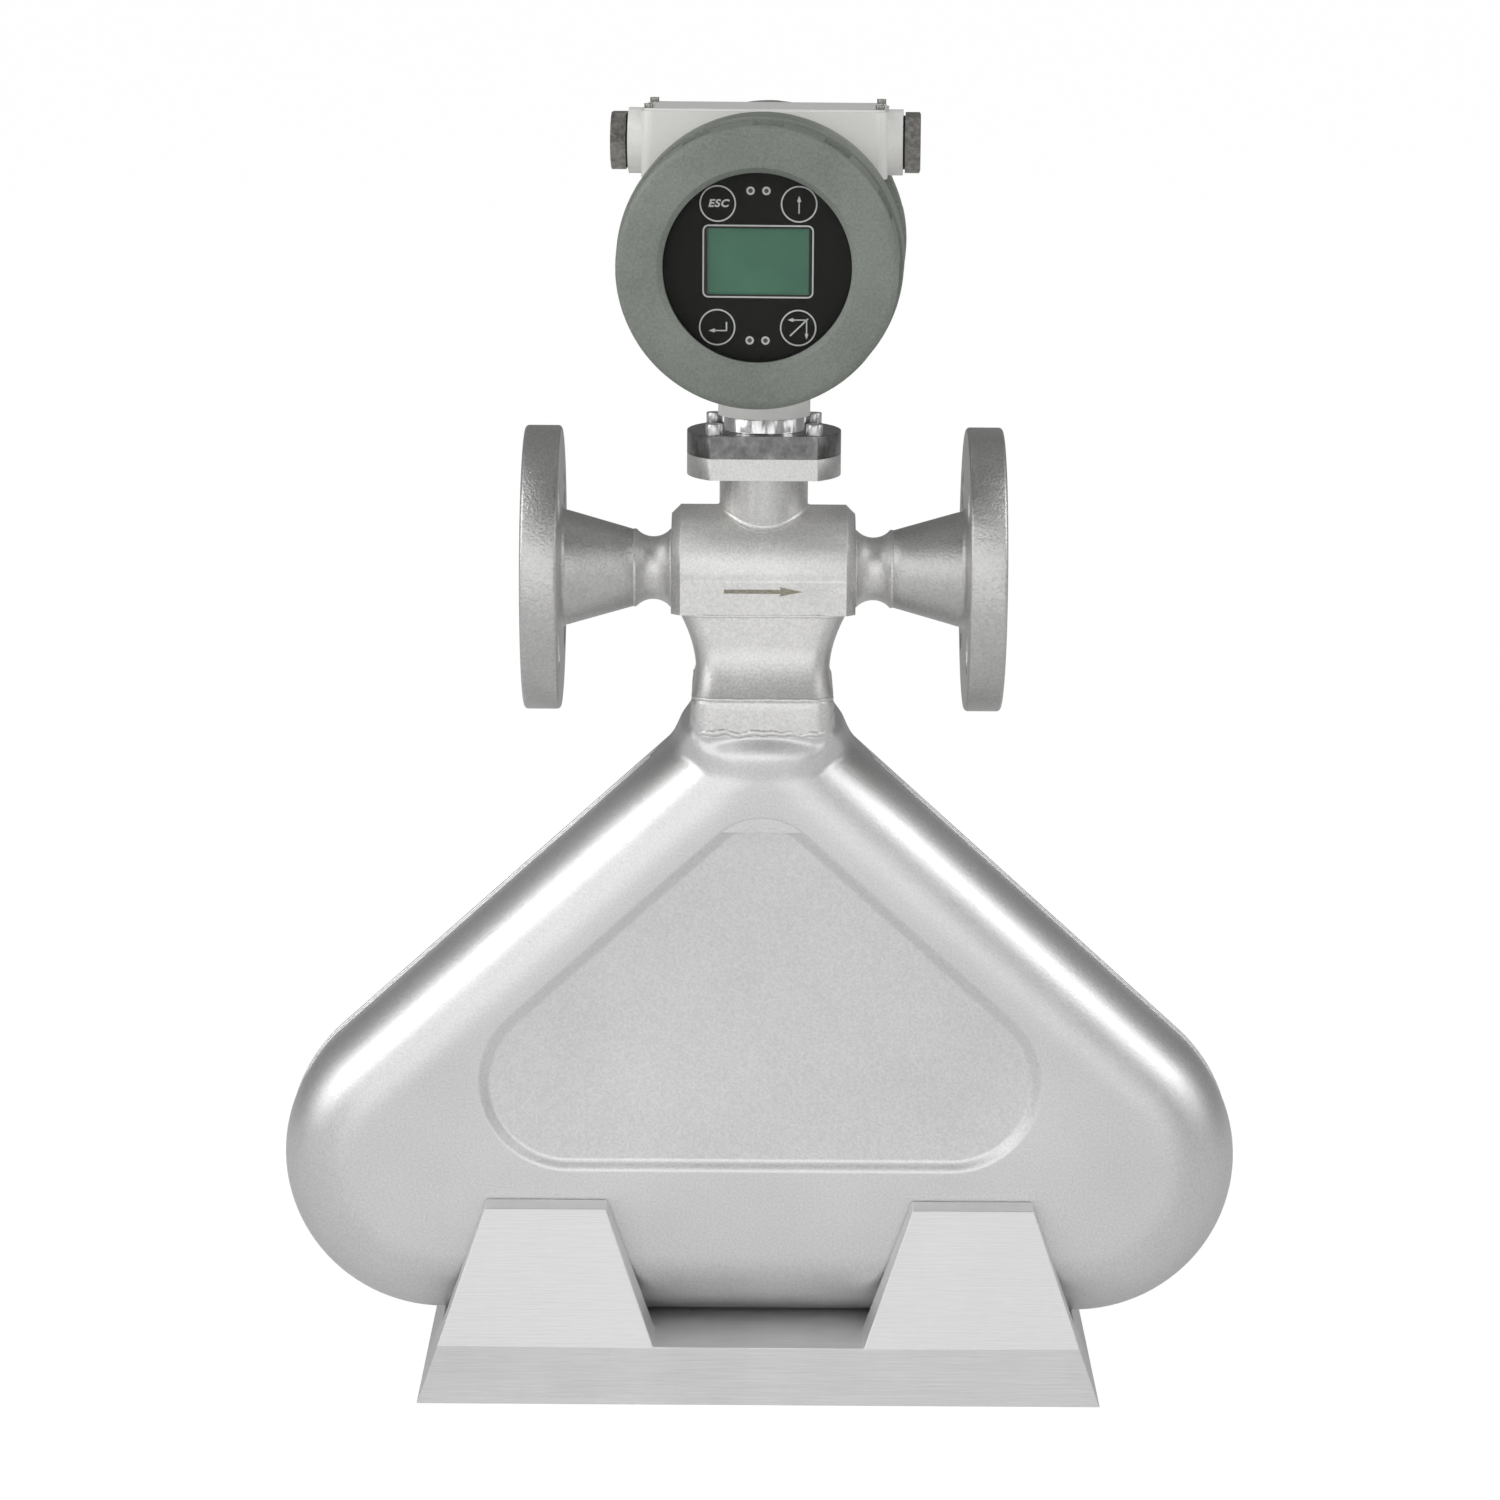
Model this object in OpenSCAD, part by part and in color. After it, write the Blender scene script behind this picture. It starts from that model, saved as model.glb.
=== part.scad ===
// Coriolis mass flow meter with flanged process connections, a delta-shaped
// sensor case, a two-chamber transmitter and the cradle that it stands in.
// Millimetres, +Z up, +X along the flow, -Y is the display side.
// The origin is the middle of the cradle's underside.

/* [Process connections] */
// Length over the two raised faces
face_to_face = 211.2; // [190:0.1:300]
// Outside diameter of the flanges
flange_d = 124; // [115:0.1:140]
// Thickness of a flange rim
flange_t = 15.9; // [12:0.1:22]
// Diameter of the raised sealing face
raised_face_d = 50.8; // [40:0.1:60]
// Height of the raised sealing face
raised_face_h = 1.6; // [1:0.1:3]
// Bolt circle diameter
bolt_circle_d = 88.9; // [85:0.1:98]
// Diameter of the bolt holes
bolt_hole_d = 19.1; // [12:0.1:20]
// Bolts in each flange
bolt_count = 4; // [4:4:8]
// Diameter of the hub where it leaves the rim
hub_d = 50; // [40:1:58]
// Fillet radius between hub and rim
hub_fillet = 3; // [1:0.5:4]
// Diameter of the hub at its weld end
pipe_d = 33.4; // [30:0.1:36]
// Diameter of the flange bore
flange_bore_d = 21; // [16:0.1:25]

/* [Flow manifold] */
// Length of the manifold block along the flow
manifold_len = 80; // [72:1:96]
// Depth of the manifold block, twice its top radius
manifold_w = 56; // [54:1:70]
// Distance from the pipe axis down to the block's underside
manifold_drop = 16.4; // [15:0.1:24]
// Chamfer round the block's ends
manifold_chamfer = 4; // [1:0.5:6]
// Length of each pipe stub
stub_len = 16; // [12:1:24]
// Smallest diameter of a stub, at its waist
stub_waist_d = 27.4; // [25:0.1:32]
// Diameter of the bore in the block
manifold_bore_d = 20.6; // [14:0.1:22]
// Diameter of the passage for the sensor wires
wire_hole_d = 8; // [5:0.5:10]

/* [Flow tubes] */
// Outside diameter of the flow tubes
tube_d = 16; // [10:0.5:17]
// Wall of the flow tubes
tube_wall = 1.5; // [0.8:0.1:2.5]
// Distance between the two tube planes
tube_spacing = 30; // [26:1:34]
// Distance between the inlet and outlet legs
leg_spacing = 28; // [26:1:32]
// Depth of the tube sockets in the manifold
tube_socket = 5.8; // [3:0.1:8]
// Distance from the case's outside to the tube's centre line
tube_inset = 24.3; // [20:0.1:30]
// Centre-line radius where the legs turn outwards
leg_bend_r = 30; // [24:1:40]
// Thickness of the tie plates between the tubes
tie_plate_t = 2; // [1:0.5:4]

/* [Sensor case] */
// Width of the delta-shaped case
case_w = 422; // [400:1:480]
// Thickness of the case from front to rear
case_t = 86; // [80:1:110]
// Slope of the case's upper sides from horizontal
case_slope = 42.2; // [40:0.1:44]
// Radius of the case's lower corners
case_corner_r = 70.3; // [60:0.1:90]
// Radius of the pressed edge between side and face
case_edge_r = 33; // [20:0.5:35]
// Sheet thickness of the case
case_wall = 2; // [1:0.5:3]
// Width of the rim band between the two shells
rim_band_w = 18; // [10:1:18]
// How far the rim band lies inside the shells' edges
rim_inset = 1; // [0.5:0.5:2]
// Depth of the pressed panel in each face
panel_depth = 2.5; // [1:0.5:5]
// Width of the slope round the pressed panel
panel_slope_w = 3; // [2:0.5:8]
// Distance from the case's sloping side to the panel
panel_side_gap = 40.4; // [38:0.1:60]
// Distance from the case's underside to the panel
panel_base_gap = 72.5; // [45:0.5:80]
// Radius of the panel's lower corners
panel_corner_r = 38.2; // [20:0.1:45]
// Radius of the panel's top corner
panel_top_r = 27.7; // [15:0.1:40]

/* [Neck] */
// Width of the collar that is welded on the case
collar_w = 62; // [60:1:72]
// Depth of the collar
collar_depth = 79; // [75:1:84]
// Height of the collar's top edge above the case's crown
collar_lip = 0.57; // [0.2:0.01:8]
// Height of the neck between the collar and the manifold
neck_h = 35.1; // [28:0.1:60]
// Width of the neck at its waist
neck_waist_w = 58; // [56:0.5:60]
// Width of the neck under the manifold
neck_top_w = 72.6; // [66:0.1:76]
// Depth of the neck under the manifold
neck_top_depth = 56; // [54:1:58]
// Depth of the neck at its foot
neck_foot_depth = 76; // [72:1:78]
// Radius of the neck's and the collar's upright corners
neck_corner_r = 9; // [6:0.5:12]
// Wall of the neck and the collar
neck_wall = 3; // [2:0.5:3]

/* [Stem and adapter] */
// Diameter of the stem between manifold and transmitter
stem_d = 38.5; // [32:0.5:44]
// Bore of the stem for the sensor wires
stem_bore_d = 20; // [12:1:26]
// Height of the stem plate's underside above the pipe axis
stem_rise = 41.9; // [38:0.1:60]
// Thickness of the stem's own plate
stem_plate_t = 9.3; // [6:0.1:14]
// Thickness of the adapter plate
adapter_t = 10; // [6:0.1:14]
// Diameter of both plates
plate_d = 67; // [64:0.5:80]
// Distance over the flats of both plates
plate_flats = 48.6; // [47:0.1:60]
// Distance between the plate screws along the flow
plate_screw_x = 43.4; // [40:0.1:44]
// Distance between the plate screws from front to rear
plate_screw_y = 40; // [38:0.1:41]
// Thread diameter of the plate screws
plate_screw_d = 4; // [3:0.5:5]
// Diameter of the adapter's spigot
spigot_d = 35.2; // [32:0.1:36]
// Height of the spigot's bright shoulder
spigot_shoulder = 6.6; // [6:0.1:12]
// Diameter of the spigot inside the housing
spigot_top_d = 30; // [24:0.1:31]
// Length of the spigot inside the housing
spigot_top_len = 16; // [10:1:18]

/* [Transmitter] */
// Height of the covers' lowest point above the adapter plate
head_gap = 18.3; // [14:0.1:30]
// Turn of the transmitter on its adapter
head_turn = 2.3; // [-10:0.1:10]
// How far the barrel stands out beyond the threaded necks
barrel_step = 4; // [3:0.5:6]
// Length of the housing barrel between the covers
barrel_len = 60; // [56:1:80]
// Wall of the threaded necks under the covers
thread_wall = 5; // [4:0.5:6]
// Length of the front neck
front_neck_len = 14; // [10:1:18]
// Length of the rear neck
rear_neck_len = 12; // [10:1:16]
// Space between the display's edge and the chamber's wall
chamber_gap = 7; // [6:0.5:12]
// Thickness of the wall between the chambers
partition_t = 4; // [3:0.5:8]
// Diameter of the boss that takes the spigot
neck_boss_d = 40; // [38:0.5:46]
// Length of the wiring box over both ends
box_len = 105; // [100:1:120]
// Depth of the wiring box
box_depth = 50; // [46:1:54]
// Height of the wiring box above the barrel
box_cap = 4; // [2:0.5:10]
// Wall of the wiring box
box_wall = 6; // [4:0.5:7]
// Thread diameter of the screws on the wiring box
top_screw_d = 3; // [2:0.5:4]
// Diameter of the conduit bosses
conduit_boss_d = 28.2; // [26:0.1:28.2]
// Distance from the wiring box's top down to the conduit axis
conduit_drop = 14.2; // [14.2:0.1:16]
// Length of each conduit boss beyond the box
conduit_boss_len = 6.4; // [4:0.1:10]
// Diameter of the conduit thread
conduit_d = 20; // [16:0.5:20]
// Thickness of the plate on the wiring box
top_plate_t = 1; // [1:0.5:3]

/* [Covers] */
// Distance from the thread out to a cover's widest band
cover_wall = 8.5; // [8:0.5:12]
// How far the front cover's notched rim lies inside its band
cover_rim_step = 1.5; // [1:0.5:2.5]
// Length of the front cover
front_cover_len = 61.7; // [58:0.1:76]
// Length of the widest band on the front cover
front_band_len = 31.7; // [20:0.1:34]
// Length of the rear cover
rear_cover_len = 19.2; // [18:0.1:40]
// Bevel round a cover's face
cover_bevel = 3.6; // [2:0.1:5]
// Grip notches round each cover
notch_count = 12; // [6:1:18]
// Width of a grip notch
notch_w = 12.6; // [6:0.1:14]
// Depth of a grip notch
notch_depth = 2.4; // [1:0.1:3]
// How far the window's edge covers the display's edge
window_overlap = 0.7; // [0:0.1:3]
// Width of the seat behind which the glass lies
glass_seat = 4.7; // [4:0.1:6]
// Thickness of the window glass
glass_t = 5; // [4:0.5:6]
// Thickness of the lip in front of the glass
window_lip = 4.5; // [4:0.1:6]
// Height of the ring that holds the glass
retainer_t = 2; // [1.5:0.1:3]
// Section diameter of the cover seals
seal_d = 2.6; // [2:0.1:2.8]

/* [Plugs] */
// Width across flats of the conduit plugs
plug_af = 24; // [22:0.5:26]
// Thickness of a plug's hexagon
plug_hex_t = 6.6; // [5:0.1:10]
// Length of a plug's threaded shank in the boss
plug_shank_len = 9.8; // [7:0.1:10]
// Thickness of the plug washers
plug_washer_t = 0.7; // [0.5:0.1:2]
// Outside diameter of the plug washers
plug_washer_d = 23; // [22:0.5:26]

/* [Display] */
// Diameter of the display's front panel
panel_d = 80; // [78:0.5:82]
// Thickness of the display's front panel
panel_t = 1; // [0.8:0.1:2]
// Width of the liquid crystal window
lcd_w = 42.7; // [36:0.1:46]
// Height of the liquid crystal window
lcd_h = 27.9; // [22:0.1:30]
// Height of the window's centre above the panel's centre
lcd_rise = 1.8; // [0:0.1:3]
// Thickness of the liquid crystal module
lcd_t = 4; // [2:0.5:6]
// Diameter of the indicator lamps
led_d = 2.4; // [1.5:0.1:3]
// Distance between two lamps of a pair
led_pitch = 6.6; // [5:0.1:8]
// Distance of the lamps above and below the panel's centre
led_rise = 31.1; // [29:0.1:32]
// Thickness of the circuit boards
board_t = 1.6; // [1:0.1:2.4]
// Distance between the lower boards
board_gap = 16; // [15:1:20]
// Diameter of the pillars between the boards
pillar_d = 6; // [4:0.5:8]
// Distance between two terminals
terminal_pitch = 9; // [6:0.5:10]
// Height of the terminal block
terminal_h = 14; // [10:1:18]

/* [Cradle] */
// Length of the cradle's underside
stand_len = 299; // [270:1:340]
// Depth of the cradle's underside
stand_depth = 144; // [136:1:180]
// Height of the floor that the case stands on
stand_floor = 26.4; // [20:0.1:40]
// Height of the posts' tops
stand_h = 84.7; // [70:0.1:100]
// Distance between the posts at the floor
post_gap = 92; // [60:1:110]
// How far a post's inner side leans out up to its top
post_inner_lean = 21; // [10:1:30]
// Slope of the cradle's ends, sideways run for each unit of height
end_slope = 0.348; // [0.2:0.001:0.4]
// Thickness of a post at its top
post_top_t = 14.4; // [8:0.1:18]

/* [Hidden] */
$fn = 64;
eps = 0.01;         // overlap that makes a cut run clean through
lap = 0.5;          // overlap that joins the pieces of one sheet
step = 0.15;        // how far straight runs are set in where they run into bends
fit_gap = 0.3;      // radial clearance of the threads
seat_gap = 0.3;     // clearance between parts that turn on each other
case_gap = 1;       // clearance of the case between the posts
weld_gap = 0.1;     // gap that a weld closes

// Colours
steel = "#c9c9c6";
plate_steel = "#8f8d89";
cover_grey = "#82847f";
housing_white = "#dcdcd8";
stand_grey = "#cdcecc";
board_green = "#2f6b4a";

// Outline of the case: the side normal, and each side's distance from the origin
side_n = [sin(case_slope), cos(case_slope)];
side_turn = 90 - case_slope;
case_z = stand_floor;
corner = [case_w / 2 - case_corner_r, case_z + case_corner_r];
side_reach = side_n * corner + case_corner_r;
case_half = case_t / 2;
case_top_r = case_edge_r + 2;
case_crown_z = (side_reach - case_top_r) / side_n[1] + case_top_r;
panel_reach = side_reach - panel_side_gap;
panel_z = case_z + panel_base_gap;
tube_reach = side_reach - tube_inset;

// Neck: where its waist and the end of its wide foot lie, as shares of its height
waist_t = 0.3;
foot_t = 0.62;
corner_steps = 6;

// Heights above the case
collar_top_z = case_crown_z + collar_lip;
manifold_z = collar_top_z + neck_h;
pipe_z = manifold_z + manifold_drop;
stem_plate_z = pipe_z + stem_rise;

// Pipe run
flange_back_x = face_to_face / 2 - raised_face_h - flange_t;
weld_x = manifold_len / 2 + stub_len;
manifold_r = manifold_w / 2;
tube_top_z = manifold_z + tube_socket;
tube_y = tube_spacing / 2;
leg_x = leg_spacing / 2;
tube_hole_d = tube_d + 0.1;
bend = [leg_x + leg_bend_r, (tube_reach + leg_bend_r - side_n[0] * (leg_x + leg_bend_r)) / side_n[1]];
tube_corner_r = case_corner_r - tube_inset;
run_start = bend - leg_bend_r * side_n;
run_end = corner + tube_corner_r * side_n;
run_len = norm(run_end - run_start);
node_plate_z = bend[1] + 8;

// Coils and magnets, which ride on the tubes by saddles
saddle_w = 14;
coil_r = 8;
coil_len = 17;
coil_rise = tube_d / 2 + 3 + coil_r;
magnet_r = 4;

// Stem, plates and screws
adapter_z = stem_plate_z + stem_plate_t;
adapter_top_z = adapter_z + adapter_t;
feed_z = adapter_z + 4;
feed_t = 5;
boss_z = adapter_top_z + spigot_shoulder;
screw_head_d = 1.8 * plate_screw_d;
screw_head_h = 1.2 * plate_screw_d;

// Transmitter across its axis, from the display outwards
window_r = panel_d / 2 - window_overlap;
glass_r = window_r + glass_seat;
retainer_r = panel_d / 2 + 1;
chamber_r = panel_d / 2 + chamber_gap;
cover_thread_r = chamber_r + thread_wall;
barrel_r = cover_thread_r + barrel_step;
cover_r = cover_thread_r + cover_wall;
cover_rim_r = cover_r - cover_rim_step;
box_rise = barrel_r + box_cap;
conduit_rise = box_rise - conduit_drop;
head_z = adapter_top_z + head_gap + cover_r;
boss_drop = head_z - boss_z;

// Transmitter, measured along its axis from the middle of the barrel
barrel_half = barrel_len / 2;
cover_base = barrel_half + seat_gap;
cover_face = cover_base + front_cover_len;
rear_face = cover_base + rear_cover_len;
rear_cup_wall = 4;
seal_seat = seal_d + seat_gap;
gland_end = cover_base + seal_seat;
seal_ring_r = cover_thread_r + 2 * fit_gap + seal_d / 2;
gland_r = seal_ring_r + seal_d / 2 + seat_gap;
thread_r = cover_thread_r + fit_gap;
front_neck_end = barrel_half + front_neck_len;
rear_neck_end = barrel_half + rear_neck_len;
glass_front = cover_face - window_lip;
glass_back = glass_front - glass_t;
retainer_back = glass_back - retainer_t;
panel_front = retainer_back - 1;
lcd_front = panel_front - panel_t;
display_board_front = lcd_front - lcd_t;
partition_half = partition_t / 2;
power_board_back = partition_half + 10;
main_board_back = power_board_back + board_t + board_gap;
inner_board_d = 2 * chamber_r - 8;
grid = inner_board_d / 30;             // the boards' components follow this
pillar_ring_d = 0.7 * inner_board_d;
terminal_count = 6;
terminal_row = 10;
terminal_well = 5;
terminal_d = 0.6 * terminal_pitch;
terminal_len = terminal_pitch * terminal_count + 4;
display_board_d = panel_d - 4;
box_end = box_len / 2;
top_screw_len = 2.3 * top_screw_d;
top_hole_d = 1.13 * top_screw_d;
top_head_h = 0.63 * top_screw_d;
top_screw_x = box_end - 1.1 * top_screw_d;
top_screw_y = box_depth / 2 - 1.5 * top_screw_d;
boss_end = box_end + conduit_boss_len;
washer_x = boss_end + 0.1;
hex_x = washer_x + plug_washer_t + 0.1;

// ---------------------------------------------------------------- helpers

// Puts a drawing made in the X-Y plane upright, its thickness towards the front
module facing() {
    rotate([90, 0, 0]) children();
}

// Solid turned about the transmitter's axis; points are [radius, forwards]
module turned(points) {
    facing() rotate_extrude($fn = 128) polygon(points);
}

// Places a piece in the transmitter's own frame
module at_head() {
    translate([0, 0, head_z]) rotate([0, 0, -head_turn]) children();
}

module rounded_rect(w, h, r) {
    square([w - 2 * r, h], center = true);
    square([w, h - 2 * r], center = true);
    for (sx = [-1, 1], sy = [-1, 1])
        translate([sx * (w / 2 - r), sy * (h / 2 - r)]) circle(r);
}

// Corner centre of a rounded delta, from its side distance, base and radius
function delta_corner(reach, base, r) =
    [(reach - r - side_n[1] * (base + r)) / side_n[0], base + r];
function delta_top(reach, r) = (reach - r) / side_n[1];

// Filled rounded delta, its straight sides set in a little from the corners
module delta_area(reach, base, r, top_r) {
    c = delta_corner(reach, base, r);
    t = delta_top(reach, top_r);
    low = (r - step) * side_n;
    high = (top_r - step) * side_n;
    polygon([
        [-c[0], base + step], [c[0], base + step],
        c + low, [0, t] + high, [-high[0], t + high[1]], [-c[0] - low[0], c[1] + low[1]]
    ]);
    for (s = [-1, 1]) translate([s * c[0], c[1]]) circle(r, $fn = 128);
    translate([0, t]) circle(top_r, $fn = 128);
}

// Carries a section round a rounded delta. The section's X is measured
// outwards from the outline, its Y towards the front. On the straight sides
// the section is set in by $inset, so that they run cleanly into the bends.
module delta_sweep(reach, base, r, top_r) {
    c = delta_corner(reach, base, r);
    t = delta_top(reach, top_r);
    side_len = norm(c + r * side_n - [0, t] - top_r * side_n);
    translate([c[0], base]) rotate([0, 0, -90]) delta_side(2 * c[0]) children();
    translate(c) rotate([0, 0, -90]) delta_arc(r, 90 + side_turn) children();
    translate(c) rotate([0, 0, side_turn]) translate([r, side_len]) delta_side(side_len) children();
    translate([-c[0], c[1]]) rotate([0, 0, 180 - side_turn]) {
        delta_arc(r, 90 + side_turn) children();
        translate([r, 0]) delta_side(side_len) children();
    }
    translate([0, t]) rotate([0, 0, side_turn]) delta_arc(top_r, 180 - 2 * side_turn) children();
}

module delta_side(len) {
    $inset = step;
    translate([0, step, 0]) rotate([90, 0, 0]) linear_extrude(len + 2 * step) children();
}

module delta_arc(r, sweep) {
    $inset = 0;
    rotate_extrude(angle = sweep, $fn = 128) translate([r, 0]) children();
}

// Rounded delta block with the case's pressed edge, drawn lying on its face
module case_block() {
    translate([0, 0, -case_half]) linear_extrude(case_t) case_outline(case_edge_r + lap / 2);
    delta_sweep(side_reach, case_z, case_corner_r, case_top_r) case_edge_area();
}

// Section of the case's edge, filled
module case_edge_area() {
    flat = case_half - case_edge_r;
    intersection() {
        translate([-case_edge_r, 0]) union() {
            for (s = [-1, 1]) translate([0, s * flat]) circle(case_edge_r - $inset, $fn = 96);
            translate([0, -flat]) square([case_edge_r - $inset, 2 * flat]);
        }
        translate([-case_edge_r, -case_half]) square([case_edge_r, case_t]);
    }
    translate([-case_edge_r - lap, $inset - case_half]) square([lap, case_t - 2 * $inset]);
}

// ---------------------------------------------------------------- cradle

module stand() {
    top_x = stand_len / 2 - end_slope * stand_h;
    front_lean = case_half + case_gap + post_top_t;
    slot = case_half + case_gap;
    color(stand_grey) intersection() {
        facing() translate([0, 0, -stand_depth / 2]) linear_extrude(stand_depth) polygon([
            [-stand_len / 2, 0], [stand_len / 2, 0], [top_x, stand_h],
            [post_gap / 2 + post_inner_lean, stand_h], [post_gap / 2, stand_floor],
            [-post_gap / 2, stand_floor], [-post_gap / 2 - post_inner_lean, stand_h],
            [-top_x, stand_h]
        ]);
        rotate([90, 0, 90]) translate([0, 0, -stand_len / 2]) linear_extrude(stand_len) polygon([
            [-stand_depth / 2, 0], [stand_depth / 2, 0], [stand_depth / 2, stand_floor],
            [front_lean, stand_h], [slot, stand_h], [slot, stand_floor],
            [-slot, stand_floor], [-slot, stand_h], [-front_lean, stand_h],
            [-stand_depth / 2, stand_floor]
        ]);
    }
}

// ---------------------------------------------------------------- sensor case

// Section of one shell's pressed edge, from the rim band to the face
module shell_edge_area() {
    flat = case_half - case_edge_r;
    translate([-case_wall - $inset, rim_band_w / 2]) square([case_wall, flat - rim_band_w / 2]);
    intersection() {
        translate([-case_edge_r, flat]) difference() {
            circle(case_edge_r - $inset, $fn = 96);
            circle(case_edge_r - case_wall - $inset, $fn = 96);
        }
        translate([-case_edge_r, flat]) square([case_edge_r, case_edge_r]);
    }
    translate([-case_edge_r - lap, case_half - case_wall - $inset]) square([lap, case_wall]);
}

// Section of the slope down into the pressed panel
module panel_slope_area() {
    floor_h = case_half - panel_depth;
    translate([0, -$inset]) polygon([
        [lap, case_half], [0, case_half], [-panel_slope_w, floor_h],
        [-panel_slope_w - lap, floor_h], [-panel_slope_w - lap, floor_h - case_wall],
        [-panel_slope_w, floor_h - case_wall], [0, case_half - case_wall],
        [lap, case_half - case_wall]
    ]);
}

// One pressed shell, drawn lying with its face up
module case_shell() {
    rim = lap / 2;
    slope = panel_slope_w + lap / 2;
    delta_sweep(side_reach, case_z, case_corner_r, case_top_r) shell_edge_area();
    translate([0, 0, case_half - case_wall]) linear_extrude(case_wall) difference() {
        case_outline(case_edge_r + lap / 2);
        delta_area(panel_reach + rim, panel_z - rim, panel_corner_r + rim, panel_top_r + rim);
    }
    delta_sweep(panel_reach, panel_z, panel_corner_r, panel_top_r) panel_slope_area();
    translate([0, 0, case_half - panel_depth - case_wall]) linear_extrude(case_wall)
        delta_area(panel_reach - slope, panel_z + slope, panel_corner_r - slope, panel_top_r - slope);
}

// Space inside the collar, through which the tubes enter the case
module neck_well() {
    wall = 2 * neck_wall;
    translate([0, 0, case_z + case_corner_r]) linear_extrude(collar_top_z)
        rounded_rect(collar_w - wall, collar_depth - wall, neck_corner_r - neck_wall);
}

module front_case_shell() {
    color(steel) difference() {
        facing() case_shell();
        neck_well();
    }
}

module rear_case_shell() {
    color(steel) difference() {
        facing() mirror([0, 0, 1]) case_shell();
        neck_well();
    }
}

// Area inside the case's outline, set in by a distance
module case_outline(inset) {
    delta_area(side_reach - inset, case_z + inset, case_corner_r - inset, case_top_r - inset);
}

module case_rim_band() {
    color(steel) difference() {
        facing() linear_extrude(rim_band_w, center = true) difference() {
            case_outline(rim_inset);
            case_outline(rim_inset + case_wall);
        }
        neck_well();
    }
}

// ---------------------------------------------------------------- neck

// Collar whose lower edge is cut to the shape of the case's shoulders
module neck_collar() {
    wall = 2 * neck_wall;
    foot_z = (side_reach - case_edge_r - side_n[0] * collar_w / 2) / side_n[1];
    color(steel) difference() {
        translate([0, 0, foot_z]) linear_extrude(collar_top_z - foot_z) difference() {
            rounded_rect(collar_w, collar_depth, neck_corner_r);
            rounded_rect(collar_w - wall, collar_depth - wall, neck_corner_r - neck_wall);
        }
        facing() case_block();
    }
}

// The neck's half width and half depth at a height t from 0 (foot) to 1 (top)
function neck_half_x(t) =
    (neck_waist_w + (neck_top_w - neck_waist_w) * pow(abs(t - waist_t) / (1 - waist_t), 1.8)) / 2;
function neck_half_y(t) =
    (neck_top_depth + (neck_foot_depth - neck_top_depth) * pow(max(0, 1 - t / foot_t), 2)) / 2;

// One level of the neck: a rounded rectangle, inset by the wall for the inside
function neck_ring(t, inset) = let (
    hx = neck_half_x(t) - inset,
    hy = neck_half_y(t) - inset,
    r = neck_corner_r - inset,
    z = collar_top_z + weld_gap + t * (neck_h - 2 * weld_gap)
) [
    for (q = [0:3], i = [0:corner_steps])
        let (a = 90 * q + 90 * i / corner_steps, sx = q == 0 || q == 3 ? 1 : -1, sy = q < 2 ? 1 : -1)
        [sx * (hx - r) + r * cos(a), sy * (hy - r) + r * sin(a), z]
];

module sensor_neck() {
    levels = 10;
    n = 4 * (corner_steps + 1);
    rings = [
        for (i = [0:levels]) neck_ring(i / levels, 0),
        for (i = [levels:-1:0]) neck_ring(i / levels, neck_wall)
    ];
    m = len(rings);
    color(steel) polyhedron(
        points = [for (ring = rings, p = ring) p],
        faces = [
            for (k = [0:m - 1], i = [0:n - 1]) let (j = (i + 1) % n, up = (k + 1) % m)
                [k * n + i, up * n + i, up * n + j, k * n + j]
        ]
    );
}

// ---------------------------------------------------------------- manifold

// Block section: round above the pipe axis, straight sides below it
module flow_manifold() {
    crown = 2;
    land = 1;
    gallery_d = tube_d - 2 * tube_wall - 1;
    half = manifold_len / 2;
    inner = half - manifold_chamfer;
    side = manifold_r - manifold_chamfer;
    stub_r = pipe_d / 2 - 0.1;
    hollow = stub_r - stub_waist_d / 2;
    waist_half = stub_len / 2 - land;
    waist_r = (pow(waist_half, 2) + pow(hollow, 2)) / (2 * hollow);
    end_wall = leg_x - manifold_bore_d / 4 - 2;
    color(steel) difference() {
        union() {
            translate([0, 0, pipe_z]) rotate([0, 90, 0]) rotate_extrude($fn = 128) polygon([
                [0, -half], [side, -half], [manifold_r, -inner],
                [manifold_r, inner], [side, half], [0, half]
            ]);
            translate([0, 0, manifold_z - land]) linear_extrude(manifold_drop + land - crown) polygon([
                for (sy = [-1, 1], sx = [sy, -sy])
                    each sx * sy < 0
                        ? [[sx * inner, sy * manifold_r], [sx * half, sy * side]]
                        : [[sx * half, sy * side], [sx * inner, sy * manifold_r]]
            ]);
            for (s = [-1, 1]) translate([s * half, 0, pipe_z]) rotate([0, s * 90, 0])
                rotate_extrude($fn = 128) difference() {
                    square([stub_r, stub_len]);
                    translate([stub_waist_d / 2 + waist_r, stub_len / 2]) circle(waist_r, $fn = 128);
                }
        }
        for (s = [-1, 1]) {
            translate([s * end_wall, 0, pipe_z]) rotate([0, s * 90, 0])
                cylinder(d = manifold_bore_d, h = weld_x);
            translate([s * leg_x, 0, pipe_z]) rotate([90, 0, 0])
                cylinder(d = gallery_d, h = tube_spacing + 4, center = true);
            for (y = [-tube_y, tube_y]) translate([s * leg_x, y, 0]) {
                translate([0, 0, manifold_z - 2])
                    cylinder(d = tube_d - 2 * tube_wall, h = manifold_drop + 4);
                translate([0, 0, manifold_z - 2]) cylinder(d = tube_hole_d, h = tube_socket + 2 + seat_gap);
            }
        }
        translate([0, 0, manifold_z - 1]) cylinder(d = wire_hole_d, h = manifold_w);
        translate([-manifold_len, -manifold_w, manifold_z - manifold_w])
            cube([2 * manifold_len, 2 * manifold_w, manifold_w]);
    }
}

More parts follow.
